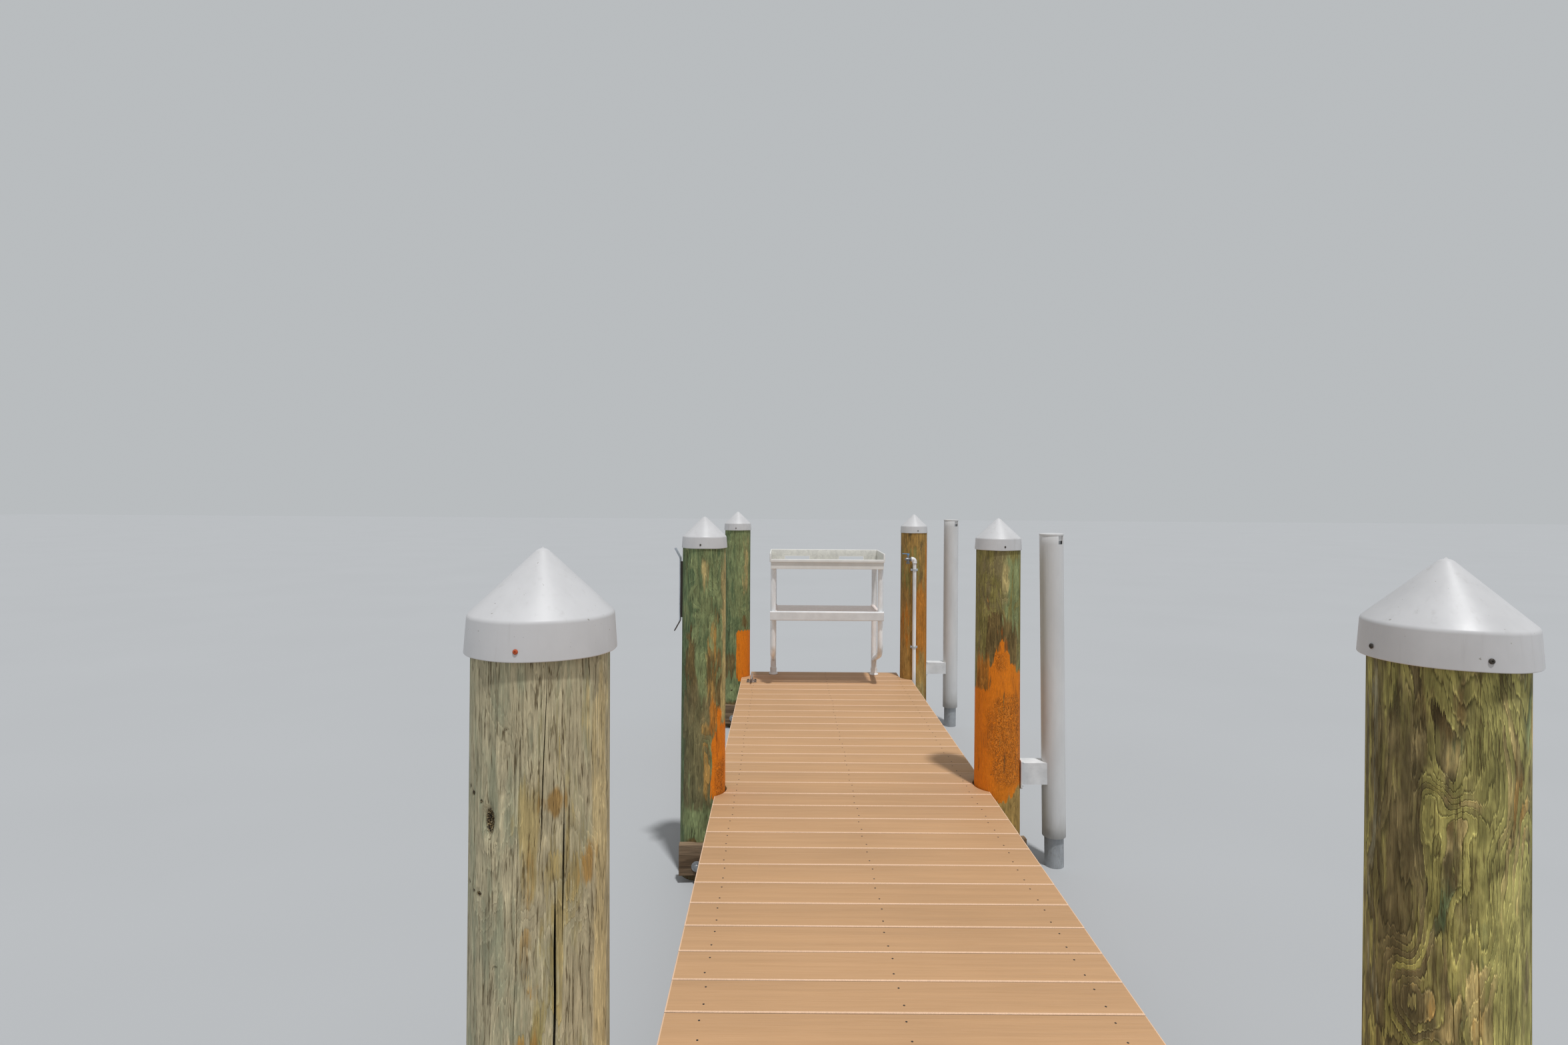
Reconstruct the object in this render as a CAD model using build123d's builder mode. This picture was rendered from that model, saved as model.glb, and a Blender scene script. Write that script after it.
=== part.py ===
from build123d import *

import os
from dataclasses import dataclass
from math import atan2, ceil, cos, degrees, hypot, radians, sin, sqrt, tan

# Timber jetty of three bays: four pairs of round piles carry cross beams,
# stringers and a deck, with a cleaning table, a standpipe and two guide poles.
# Millimetres. +Y runs from the shore end to the far end, +X is to the right
# of someone walking out, and z = 0 is the water line.


@dataclass
class Pile:
    outside: float  # centre, out from the deck's edge
    ahead: float  # centre, from the line of its row
    radius: float  # just under its cap
    cap_radius: float  # at the rim of its cap
    cap_level: float  # rim of its cap, above the deck


@dataclass
class Pole:
    outside: float  # foot, out from the centre of the pile that holds it
    ahead: float  # foot, from the centre of the pile that holds it
    lean: float  # degrees, towards the deck
    bracket_height: float


# Deck levels and plan
deck_level = 385.0
deck_width = 1282.0
bay_length = 2438.0
board_width = 140.0
board_thickness = 25.0
board_gap = 3.0
far_overhang = 43.0
shore_overhang = 40.0
notch_gap = 6.0

# Timbers under the deck
stringer_width = 38.0
stringer_depth = 184.0
stringer_inset = 96.0
end_joist_width = 38.0
far_joist_inset = 25.0
beam_width = 38.0
beam_depth = 140.0
dap_depth = 12.0
dap_reach = 60.0

# Piles, with each row's left and right pile
pile_taper = 3.0 / 1000.0
pile_rows = {
    "shore": (
        Pile(75.0, 58.0, 106.0, 114.0, 1112.0),
        Pile(73.0, 92.0, 104.0, 112.0, 1118.0),
    ),
    "near": (
        Pile(109.0, 38.0, 117.0, 128.0, 1106.0),
        Pile(114.0, -42.0, 106.0, 120.0, 1115.0),
    ),
    "mid": (
        Pile(60.0, -38.0, 101.0, 106.5, 1132.0),
        Pile(58.0, 42.0, 103.5, 110.0, 1127.0),
    ),
    "far": (
        Pile(42.0, -58.0, 97.0, 104.0, 1114.0),
        Pile(29.0, -98.0, 98.0, 103.0, 1104.0),
    ),
}
row_names = list(pile_rows)

# Moulded pile caps, as shares of the rim radius
cap_wall = 3.0
cap_shoulder_share = 0.962
cap_skirt_share = 0.493
cap_cone_share = 0.915
cap_shoulder_fillet = 8.0
cap_apex_fillet = 16.0
cap_fit = 1.0
cap_seat_gap = 0.3
head_start = 12.0
head_trim = 1.0

# Guide poles, held off the right-hand piles by brackets
poles = {"mid": Pole(278.0, 0.0, 0.87, 102.0), "far": Pole(293.0, 40.0, 0.0, 86.0)}
sleeve_radius = 55.0
sleeve_wall = 5.0
sleeve_bottom = -240.0
pole_height = 1205.0
core_radius = 44.5
core_wall = 5.5
pole_cap_thickness = 9.0
pole_cap_lip = 1.0
pole_plug_length = 25.0
pole_fit = 0.3
seam_notch_width = 18.0
seam_notch_height = 42.0
seam_notch_angle = -52.0
bracket_level = 64.0
bracket_width = 74.0
bracket_wall = 5.0
flange_margin = 16.0
flange_width = 112.0
flange_thickness = 8.0
flange_flat_depth = 7.0

# Cleaning table at the far end
table_offset = -13.0
table_inset = 72.0
leg_inset = 27.5
leg_radius = 21.5
leg_depth = 392.0
front_leg_radius = 19.5
foot_return_level = 118.0
foot_knee_level = 232.0
foot_bend_radius = 85.0
foot_radius = 34.0
foot_plate = 7.0
foot_collar_height = 52.0
foot_collar_wall = 3.0
foot_flare = 6.0
foot_fit = 0.3
tray_width = 834.0
tray_depth = 470.0
tray_back_reach = 26.0
tray_underside = 852.0
tray_height = 113.0
tray_rim_height = 63.0
tray_lip_drop = 42.0
tray_floor_thickness = 33.0
tray_wall = 10.0
tray_overhang = 9.0
tray_corner_radius = 12.0
tray_pocket_depth = 22.0
slot_offset = 210.0
slot_width = 188.0
slot_height = 27.0
shelf_top = 545.0
shelf_front_height = 66.0
shelf_front_thickness = 22.0
shelf_front_fillet = 6.0
shelf_panel_drop = 16.0
shelf_panel_thickness = 12.0
shelf_drain_inset = 37.7
shelf_drain_depth = 14.0
shelf_rail_height = 40.0
shelf_rail_width = 26.0
shelf_fit = 0.3

# Washdown standpipe and tap on the far right pile
pipe_radius = 13.35
pipe_edge_gap = 1.8
pipe_standoff = 9.0
pipe_bottom = -150.0
elbow_level = 909.0
elbow_radius = 17.5
elbow_reach = 30.0
elbow_socket = 26.0
clamp_levels = (249.0, 829.0)
clamp_height = 16.0
clamp_wall = 3.0
clamp_fit = 0.3
clamp_block_width = 51.0
clamp_block_setback = 3.0
tap_radius = 11.0
tap_length = 46.0
tap_collar_radius = 15.0
tap_collar_length = 9.0
tap_spout_radius = 9.0
tap_spout_length = 34.0
tap_thread_radius = 13.3
tap_thread_length = 13.0
tap_stem_radius = 6.0
tap_stem_height = 30.0
tap_fit = 0.3
handle_length = 52.0
handle_width = 16.0
handle_thickness = 5.0
handle_hub_radius = 10.0
handle_hub_height = 9.0

# Mooring cleat at the far left corner
cleat_side_inset = 81.0
cleat_end_inset = 335.0
cleat_length = 204.0
cleat_height = 42.0
cleat_foot_length = 76.0
cleat_foot_width = 24.0
cleat_foot_thickness = 6.0
cleat_bolt_offset = 27.0
cleat_leg_offset = 27.0
cleat_leg_base = 26.0
cleat_leg_top = 15.0
cleat_leg_depth = 16.0
cleat_horn_radius = 9.0
cleat_tip_radius = 5.0
cleat_rise = 6.0
cleat_bolt_radius = 4.0

# Flat bar hanger on the outer side of the mid left pile
hanger_bottom = 742.0
hanger_height = 388.0
hanger_width = 40.0
hanger_thickness = 5.0
hanger_backing_width = 30.0
hanger_backing_inset = 18.0
hanger_standoff = 9.0
hanger_flare = 25.0
hanger_flare_height = 46.0
hanger_bend_radius = 24.0
hanger_fit = 0.3

# Levels worked out from the sizes above
stringer_top = deck_level - board_thickness
beam_top = stringer_top - stringer_depth
beam_bottom = beam_top - beam_depth
board_pitch = board_width + board_gap
bay_count = len(row_names) - 1
boards_to_row = [round((bay_count - row) * bay_length / board_pitch) for row in range(bay_count)]
boards_to_row[0] = ceil((bay_count * bay_length + far_overhang + shore_overhang) / board_pitch)
boards_per_bay = [nearer - further for nearer, further in zip(boards_to_row, boards_to_row[1:] + [0])]
deck_length = sum(boards_per_bay) * board_pitch - board_gap
half_deck = deck_width / 2
stringer_offset = half_deck - stringer_inset


def pile_across(row, pile):
    """How far right of the deck's centre line a pile's centre is."""
    side = -1 if pile is pile_rows[row][0] else 1
    return side * (half_deck + pile.outside)


def pile_radius(pile, level):
    """Radius of a pile at a height above the water."""
    return pile.radius + pile_taper * (deck_level + pile.cap_level - level)


# The plan is centred on the origin, over everything that stands on the water
mid_left, mid_right = pile_rows["mid"]
hanger_reach = (
    pile_across("mid", mid_left)
    - mid_left.radius
    - hanger_standoff
    - hanger_thickness
    - hanger_flare
)
left_reach = min(
    [pile_across(row, left) - left.cap_radius for row, (left, right) in pile_rows.items()]
    + [hanger_reach]
)
right_reach = max(
    [pile_across(row, right) + right.cap_radius for row, (left, right) in pile_rows.items()]
    + [
        pile_across(row, pile_rows[row][1])
        + pole.outside
        - tan(radians(pole.lean)) * (deck_level + sleeve_bottom)
        + sleeve_radius * cos(radians(pole.lean))
        for row, pole in poles.items()
    ]
)
deck_x = -(left_reach + right_reach) / 2
far_line = bay_count / 2 * bay_length
deck_far_end = far_line + far_overhang
deck_shore_end = deck_far_end - deck_length
far_reach = max(
    [pile.ahead + pile.cap_radius + far_line for pile in pile_rows["far"]]
    + [deck_far_end]
)
shore_reach = min(
    [pile.ahead - pile.cap_radius - far_line for pile in pile_rows["shore"]]
    + [deck_shore_end]
)
deck_y = -(far_reach + shore_reach) / 2
deck_far_end += deck_y
deck_shore_end += deck_y


def row_line(row):
    """Where the line of a row crosses the jetty's length."""
    return deck_y - far_line + row_names.index(row) * bay_length


def pile_spot(row, pile):
    """Plan position of a pile's centre."""
    return deck_x + pile_across(row, pile), row_line(row) + pile.ahead


def beam_frame(row):
    """Midpoint, angle and length of the line across a row's two piles, and
    how far from it the seats for the cross beams lie."""
    left, right = pile_rows[row]
    (x_left, y_left), (x_right, y_right) = pile_spot(row, left), pile_spot(row, right)
    angle = degrees(atan2(y_right - y_left, x_right - x_left))
    length = hypot(x_right - x_left, y_right - y_left) + left.radius + right.radius
    seat = min(left.radius, right.radius) - dap_depth
    return (x_left + x_right) / 2, (y_left + y_right) / 2, angle, length, seat


def beam_sides(row):
    """Sides of a row that carry a cross beam: the end rows have only the
    beam that faces the rest of the jetty."""
    if row == row_names[0]:
        return (1,)
    if row == row_names[-1]:
        return (-1,)
    return (-1, 1)


def cap_inner_height(cap_radius, radius):
    """Height of the underside of a cap's cone above its rim."""
    shoulder = cap_shoulder_share * cap_radius
    cone = cap_cone_share * cap_radius
    slope_wall = cap_wall * hypot(cone, shoulder) / shoulder
    rise = cone * (1 - radius / shoulder)
    return cap_skirt_share * cap_radius + rise - slope_wall


def keep(piece, name):
    """Name a finished piece and write it to its own file."""
    piece.part.label = name
    export_step(piece.part, f"parts/{name}.step")


os.makedirs("parts", exist_ok=True)

# Piles: tapered, with daps that seat the cross beams, a flat for a pole's
# bracket and a trimmed head inside the cap
for row, pair in pile_rows.items():
    for side, pile in zip(("left", "right"), pair):
        x, y = pile_spot(row, pile)
        rim = deck_level + pile.cap_level
        cap_room = cap_shoulder_share * pile.cap_radius - cap_wall - cap_fit
        head = min(cap_room, pile.radius - head_trim)
        top = rim + cap_inner_height(pile.cap_radius, head) - cap_seat_gap
        upright = Plane(origin=(x, y, 0), x_dir=(1, 0, 0), z_dir=(0, -1, 0))
        mid_x, mid_y, angle, length, seat = beam_frame(row)
        with BuildPart() as timber:
            with BuildSketch(upright):
                with BuildLine():
                    Polyline(
                        (0, 0),
                        (pile_radius(pile, 0), 0),
                        (pile_radius(pile, rim + head_start), rim + head_start),
                        (head, rim + head_start),
                        (head, top),
                        (0, top),
                        close=True,
                    )
                make_face()
            revolve(axis=Axis((x, y, 0), (0, 0, 1)))
            for beam_side in beam_sides(row):
                with Locations(Location((mid_x, mid_y, beam_bottom), (0, 0, angle))):
                    with Locations((0, beam_side * (seat + dap_reach / 2), beam_depth / 2)):
                        Box(length, dap_reach, beam_depth, mode=Mode.SUBTRACT)
            if side == "right" and row in poles:
                level = deck_level + bracket_level
                flat = x + pile_radius(pile, level) - flange_flat_depth
                with Locations((flat + dap_reach / 2, y, level)):
                    flat_height = poles[row].bracket_height + 2 * flange_margin
                    Box(dap_reach, 2 * pile.radius, flat_height, mode=Mode.SUBTRACT)
        keep(timber, f"{row}_{side}_pile")

        # Pile cap: a moulded cone with a tapered skirt, open underneath
        shoulder = cap_shoulder_share * pile.cap_radius
        skirt = cap_skirt_share * pile.cap_radius
        cone = cap_cone_share * pile.cap_radius
        inner_shoulder = shoulder - cap_wall
        inner_skirt = cap_inner_height(pile.cap_radius, inner_shoulder)
        inner_apex = cap_inner_height(pile.cap_radius, 0)
        with BuildPart() as cap:
            with BuildSketch(Plane((x, y, rim), upright.x_dir, upright.z_dir)) as profile:
                Polygon(
                    (-pile.cap_radius, 0),
                    (-shoulder, skirt),
                    (0, skirt + cone),
                    (shoulder, skirt),
                    (pile.cap_radius, 0),
                    align=None,
                )
                fillet(profile.vertices().group_by(Axis.Y)[1], cap_shoulder_fillet)
                fillet(profile.vertices().group_by(Axis.Y)[-1], cap_apex_fillet)
                Polygon(
                    (-pile.cap_radius + cap_wall, 0),
                    (-inner_shoulder, inner_skirt),
                    (0, inner_apex),
                    (inner_shoulder, inner_skirt),
                    (pile.cap_radius - cap_wall, 0),
                    align=None,
                    mode=Mode.SUBTRACT,
                )
                Rectangle(
                    pile.cap_radius,
                    skirt + cone,
                    align=(Align.MIN, Align.MIN),
                    mode=Mode.INTERSECT,
                )
            revolve(axis=Axis((x, y, 0), (0, 0, 1)))
        keep(cap, f"{row}_{side}_cap")

# Cross beams, seated in the daps
for row in pile_rows:
    mid_x, mid_y, angle, length, seat = beam_frame(row)
    with BuildPart() as beams:
        for beam_side in beam_sides(row):
            with Locations(Location((mid_x, mid_y, beam_bottom), (0, 0, angle))):
                with Locations((0, beam_side * (seat + beam_width / 2), beam_depth / 2)):
                    Box(length, beam_width, beam_depth)
    keep(beams, f"{row}_cross_beam" + "s" * (len(beam_sides(row)) - 1))

# Stringers, and the joists across their ends
stringer_start = deck_shore_end + end_joist_width
stringer_end = deck_far_end - far_joist_inset - end_joist_width
stringer_middle = (stringer_start + stringer_end) / 2
joist_level = beam_top + stringer_depth / 2
for name, side in (("left", -1), ("centre", 0), ("right", 1)):
    with BuildPart() as stringer:
        with Locations((deck_x + side * stringer_offset, stringer_middle, joist_level)):
            Box(stringer_width, stringer_end - stringer_start, stringer_depth)
    keep(stringer, f"{name}_stringer")

for name, start in (("shore", deck_shore_end), ("far", stringer_end)):
    with BuildPart() as joist:
        with Locations((deck_x, start + end_joist_width / 2, joist_level)):
            Box(2 * stringer_offset + stringer_width, end_joist_width, stringer_depth)
    keep(joist, f"{name}_end_joist")

# Deck of each bay, notched round the piles; the end notches run out
start = deck_shore_end
for bay, (board_count, name) in enumerate(zip(boards_per_bay, ("shore", "middle", "far"))):
    bay_deck_length = board_count * board_pitch - board_gap
    with BuildPart() as deck:
        with BuildSketch(Plane.XY.offset(stringer_top)):
            with Locations((deck_x, start + bay_deck_length / 2)):
                Rectangle(deck_width, bay_deck_length)
            for row in row_names[bay : bay + 2]:
                for pile in pile_rows[row]:
                    x, y = pile_spot(row, pile)
                    notch = pile_radius(pile, stringer_top) + notch_gap
                    with Locations((x, y)):
                        Circle(notch, mode=Mode.SUBTRACT)
                    if row in (row_names[0], row_names[-1]):
                        outward = -1 if row == row_names[0] else 1
                        with Locations((x, y + outward * bay_length / 2)):
                            Rectangle(2 * notch, bay_length, mode=Mode.SUBTRACT)
        extrude(amount=board_thickness)
    keep(deck, f"{name}_bay_deck")
    start += bay_deck_length + board_gap

# Guide poles: a plastic sleeve over a steel pipe that runs down into the
# water, a flat cap and a boxed bracket bolted to the pile
sleeve_start = deck_level + sleeve_bottom
sleeve_end = deck_level + pole_height - pole_cap_thickness


def pole_foot(row):
    """Plane of a guide pole at the water, square to the leaning pole."""
    pole = poles[row]
    x, y = pile_spot(row, pile_rows[row][1])
    lean = radians(pole.lean)
    return Plane(
        origin=(x + pole.outside, y + pole.ahead, 0),
        x_dir=(cos(lean), 0, sin(lean)),
        z_dir=(-sin(lean), 0, cos(lean)),
    )


with BuildPart() as cores:
    for row in poles:
        with BuildSketch(pole_foot(row).offset(-core_radius)):
            Circle(core_radius)
            Circle(core_radius - core_wall, mode=Mode.SUBTRACT)
        extrude(amount=core_radius + sleeve_end - pole_plug_length)
    split(bisect_by=Plane.XY, keep=Keep.TOP)
keep(cores, "guide_pole_cores")

with BuildPart() as pole_caps:
    for row in poles:
        with BuildSketch(pole_foot(row).offset(sleeve_end)):
            Circle(sleeve_radius + pole_cap_lip)
        extrude(amount=pole_cap_thickness)
        with BuildSketch(pole_foot(row).offset(sleeve_end - pole_plug_length)):
            Circle(sleeve_radius - sleeve_wall - pole_fit)
        extrude(amount=pole_plug_length)
keep(pole_caps, "guide_pole_caps")

for row, pole in poles.items():
    foot = pole_foot(row)
    pile = pile_rows[row][1]
    pile_x, pile_y = pile_spot(row, pile)
    with BuildPart() as sleeve:
        with BuildSketch(foot.offset(sleeve_start)):
            Circle(sleeve_radius)
            Circle(sleeve_radius - sleeve_wall, mode=Mode.SUBTRACT)
        extrude(amount=sleeve_end - sleeve_start)
        with BuildSketch(foot.offset(sleeve_end - seam_notch_height)):
            with Locations(Rotation(0, 0, seam_notch_angle)):
                with Locations((sleeve_radius, 0)):
                    Rectangle(4 * sleeve_wall, seam_notch_width)
        extrude(amount=seam_notch_height, mode=Mode.SUBTRACT)
    keep(sleeve, f"{row}_guide_pole_sleeve")

    level = deck_level + bracket_level
    flat = pile_x + pile_radius(pile, level) - flange_flat_depth
    with BuildPart() as bracket:
        with Locations((flat + flange_thickness / 2, foot.origin.Y, level)):
            Box(flange_thickness, flange_width, pole.bracket_height + 2 * flange_margin)
        fillet(bracket.edges().filter_by(Axis.X), flange_thickness)
        with BuildSketch(Plane((flat, foot.origin.Y, level), (0, 1, 0), (1, 0, 0))):
            Rectangle(bracket_width, pole.bracket_height)
            Rectangle(
                bracket_width - 2 * bracket_wall,
                pole.bracket_height - 2 * bracket_wall,
                mode=Mode.SUBTRACT,
            )
        extrude(amount=foot.origin.X - flat)
        with BuildSketch(foot):
            Circle(sleeve_radius + pole_fit)
        extrude(amount=deck_level + pole_height, mode=Mode.SUBTRACT)
    keep(bracket, f"{row}_guide_pole_bracket")

# Cleaning table: feet on the deck, bent side frames, shelf and washdown tray
table_x = deck_x + table_offset
back_y = deck_far_end - table_inset
front_y = back_y - leg_depth
leg_spacing = tray_width - 2 * leg_inset
leg_foot = deck_level + foot_plate
tray_level = deck_level + tray_underside

with BuildPart() as feet:
    for side in (-1, 1):
        x = table_x + side * leg_spacing / 2
        bore = leg_radius + foot_fit
        collar = bore + foot_collar_wall
        with BuildSketch(Plane((x, back_y, deck_level), (1, 0, 0), (0, -1, 0))):
            with BuildLine():
                Polyline(
                    (0, 0),
                    (foot_radius, 0),
                    (foot_radius, foot_plate),
                    (collar + foot_flare, foot_plate),
                    (collar, foot_plate + foot_flare),
                    (collar, foot_collar_height),
                    (bore, foot_collar_height),
                    (bore, foot_plate),
                    (0, foot_plate),
                    close=True,
                )
            make_face()
        revolve(axis=Axis((x, back_y, 0), (0, 0, 1)))
keep(feet, "table_feet")

for name, side in (("left", -1), ("right", 1)):
    x = table_x + side * leg_spacing / 2
    with BuildPart() as frame:
        with BuildSketch(Plane.XY.offset(leg_foot)):
            with Locations((x, back_y)):
                Circle(leg_radius)
        extrude(amount=tray_level - leg_foot)
        with BuildLine() as bend:
            FilletPolyline(
                (x, front_y, tray_level),
                (x, front_y, deck_level + foot_knee_level),
                (x, back_y, deck_level + foot_return_level),
                radius=foot_bend_radius,
            )
        with BuildSketch(Plane(origin=(x, front_y, tray_level), z_dir=(0, 0, -1))):
            Circle(front_leg_radius)
        sweep(path=bend.line)
    keep(frame, f"table_{name}_frame")

shelf_level = deck_level + shelf_top
panel_level = shelf_level - shelf_panel_drop - shelf_panel_thickness
panel_half = leg_spacing / 2 - leg_radius - shelf_fit
bar_back = front_y - front_leg_radius - shelf_fit
with BuildPart() as shelf:
    with BuildSketch(Plane((table_x, bar_back, shelf_level), (1, 0, 0), (0, -1, 0))):
        Rectangle(leg_spacing + 2 * leg_radius, shelf_front_height, align=(Align.CENTER, Align.MAX))
    extrude(amount=shelf_front_thickness)
    fillet(shelf.edges().filter_by(Axis.X).group_by(Axis.Y)[0], shelf_front_fillet)
    with BuildSketch(Plane.XY.offset(panel_level)):
        with Locations((table_x, bar_back)):
            panel_depth = back_y + leg_radius - bar_back
            Rectangle(2 * panel_half, panel_depth, align=(Align.CENTER, Align.MIN))
        with Locations((table_x, bar_back + shelf_drain_depth)):
            drain_width = 2 * (panel_half - shelf_drain_inset)
            Rectangle(drain_width, shelf_drain_depth, mode=Mode.SUBTRACT)
    extrude(amount=shelf_panel_thickness)
    with BuildSketch(Plane.XY.offset(panel_level)):
        for side in (-1, 1):
            rail_x = table_x + side * (panel_half - shelf_rail_width / 2 + leg_radius)
            with Locations((rail_x, (front_y + back_y) / 2)):
                Rectangle(shelf_rail_width, leg_depth)
        for side in (-1, 1):
            leg_x = table_x + side * leg_spacing / 2
            with Locations((leg_x, back_y)):
                Circle(leg_radius + shelf_fit, mode=Mode.SUBTRACT)
            with Locations((leg_x, front_y)):
                Circle(front_leg_radius + shelf_fit, mode=Mode.SUBTRACT)
    extrude(amount=shelf_rail_height - shelf_panel_drop)
keep(shelf, "table_shelf")

tray_y = back_y + tray_back_reach - tray_depth / 2
tray_top = tray_level + tray_height
tray_rim = tray_top - tray_rim_height
tray_lip = tray_top - tray_lip_drop
tray_floor = tray_level + tray_floor_thickness
with BuildPart() as tray:
    with BuildSketch(Plane.XY.offset(tray_level)):
        with Locations((table_x, tray_y)):
            Rectangle(tray_width - 2 * tray_overhang, tray_depth - 2 * tray_overhang)
    extrude(amount=tray_rim - tray_level)
    with BuildSketch(Plane.XY.offset(tray_rim)):
        with Locations((table_x, tray_y)):
            RectangleRounded(tray_width, tray_depth, tray_corner_radius)
    extrude(amount=tray_rim_height)
    with BuildSketch(Plane.XY.offset(tray_floor)):
        with Locations((table_x, tray_y)):
            Rectangle(tray_width - 2 * tray_wall, tray_depth - 2 * tray_wall)
    extrude(amount=tray_top - tray_floor, mode=Mode.SUBTRACT)
    with BuildSketch(Plane.XY.offset(tray_lip)):
        with Locations((table_x, tray_y - tray_depth / 2)):
            Rectangle(tray_width - 2 * tray_wall, 4 * tray_wall)
    extrude(amount=tray_lip_drop, mode=Mode.SUBTRACT)
    with BuildSketch(Plane.XY.offset(tray_floor)):
        with Locations((table_x, tray_y + tray_depth / 2)):
            with Locations((-slot_offset, 0), (slot_offset, 0)):
                Rectangle(slot_width, 4 * tray_wall)
    extrude(amount=slot_height, mode=Mode.SUBTRACT)
    with BuildSketch(Plane.XY.offset(tray_level)):
        with Locations((table_x, tray_y)):
            Rectangle(
                leg_spacing - 2 * leg_radius - 2 * tray_wall,
                tray_depth - 2 * tray_overhang - 2 * tray_wall,
            )
    extrude(amount=tray_pocket_depth, mode=Mode.SUBTRACT)
keep(tray, "table_tray")

# Standpipe just outside the deck's edge, clamped to the far right pile
post = pile_rows["far"][1]
post_x, post_y = pile_spot("far", post)
pipe_x = deck_x + half_deck + pipe_radius + pipe_edge_gap
post_side = sqrt(pile_radius(post, deck_level) ** 2 - (pipe_x - post_x) ** 2)
pipe_y = post_y - post_side - pipe_standoff - pipe_radius
elbow_z = deck_level + elbow_level
with BuildPart() as standpipe:
    with BuildSketch(Plane.XY.offset(deck_level + pipe_bottom)):
        with Locations((pipe_x, pipe_y)):
            Circle(pipe_radius)
    extrude(amount=elbow_level - pipe_bottom)
    with BuildSketch(Plane.XY.offset(elbow_z - elbow_reach)):
        with Locations((pipe_x, pipe_y)):
            Circle(elbow_radius)
    extrude(amount=elbow_reach)
    with BuildSketch(Plane((pipe_x, pipe_y, elbow_z), (0, 1, 0), (-1, 0, 0))):
        Circle(elbow_radius)
    extrude(amount=elbow_socket)
    with Locations((pipe_x, pipe_y, elbow_z)):
        Sphere(elbow_radius)
keep(standpipe, "standpipe")

with BuildPart() as clamps:
    for level in clamp_levels:
        with BuildSketch(Plane.XY.offset(deck_level + level - clamp_height / 2)):
            with Locations((pipe_x, pipe_y)):
                Circle(pipe_radius + clamp_fit + clamp_wall)
                with Locations((0, clamp_block_setback)):
                    block_depth = 2 * pipe_radius + pipe_standoff
                    Rectangle(clamp_block_width, block_depth, align=(Align.CENTER, Align.MIN))
                Circle(pipe_radius + clamp_fit, mode=Mode.SUBTRACT)
            with Locations((post_x, post_y)):
                Circle(pile_radius(post, deck_level + level) + clamp_fit, mode=Mode.SUBTRACT)
        extrude(amount=clamp_height)
keep(clamps, "pipe_clamps")

tap_start = pipe_x - elbow_socket - tap_fit
tap_across = Plane((tap_start, pipe_y, elbow_z), (0, 1, 0), (-1, 0, 0))
tap_mid = tap_start - tap_length / 2
with BuildPart() as tap:
    with BuildSketch(tap_across):
        RegularPolygon(tap_collar_radius, 6)
    extrude(amount=tap_collar_length)
    with BuildSketch(tap_across):
        Circle(tap_radius)
    extrude(amount=tap_length)
    fillet(tap.edges().group_by(Axis.X)[0], tap_radius / 2)
    with BuildSketch(Plane((tap_mid, pipe_y, elbow_z), (1, 0, 0), (0, 0, 1))):
        Circle(tap_stem_radius)
    extrude(amount=tap_stem_height)
    with BuildSketch(Plane((tap_mid, pipe_y, elbow_z), (1, 0, 0), (0, 0, -1))):
        Circle(tap_spout_radius)
    extrude(amount=tap_spout_length)
    with BuildSketch(Plane.XY.offset(elbow_z - tap_spout_length)):
        with Locations((tap_mid, pipe_y)):
            Circle(tap_thread_radius)
    extrude(amount=tap_thread_length)
keep(tap, "tap")

with BuildPart() as handle:
    with BuildSketch(Plane.XY.offset(elbow_z + tap_stem_height)):
        with Locations((tap_mid, pipe_y)):
            Circle(handle_hub_radius)
    extrude(amount=handle_hub_height)
    with BuildSketch(Plane.XY.offset(elbow_z + tap_stem_height + handle_hub_height)):
        with Locations((tap_mid + (handle_width - handle_length) / 2, pipe_y)):
            SlotOverall(handle_length, handle_width)
    extrude(amount=handle_thickness)
keep(handle, "tap_handle")

# Mooring cleat: two bolted feet with a leg each, under a pair of horns
cleat_x = deck_x - half_deck + cleat_side_inset
cleat_y = deck_far_end - cleat_end_inset
cleat_top = deck_level + cleat_height
cleat_floor = deck_level + cleat_foot_thickness
horn_level = cleat_top - cleat_horn_radius
with BuildPart() as cleat:
    with BuildSketch(Plane.XY.offset(deck_level)):
        for side in (-1, 1):
            with Locations((cleat_x, cleat_y + side * cleat_leg_offset)):
                SlotOverall(cleat_foot_length, cleat_foot_width)
                with Locations((-cleat_bolt_offset, 0), (cleat_bolt_offset, 0)):
                    Circle(cleat_bolt_radius, mode=Mode.SUBTRACT)
    extrude(amount=cleat_foot_thickness)
    for side in (-1, 1):
        with BuildSketch(Plane.XY.offset(cleat_floor)):
            with Locations((cleat_x, cleat_y + side * cleat_leg_offset)):
                Rectangle(cleat_leg_base, cleat_leg_depth)
        with BuildSketch(Plane.XY.offset(horn_level)):
            with Locations((cleat_x, cleat_y + side * cleat_leg_offset)):
                Rectangle(cleat_leg_top, cleat_leg_top)
        loft()
        tip_y = cleat_y + side * cleat_length / 2
        with BuildSketch(Plane((cleat_x, cleat_y, horn_level), (1, 0, 0), (0, side, 0))):
            Circle(cleat_horn_radius)
        with BuildSketch(Plane((cleat_x, tip_y, horn_level + cleat_rise), (1, 0, 0), (0, side, 0))):
            Circle(cleat_tip_radius)
        loft()
keep(cleat, "cleat")

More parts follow.
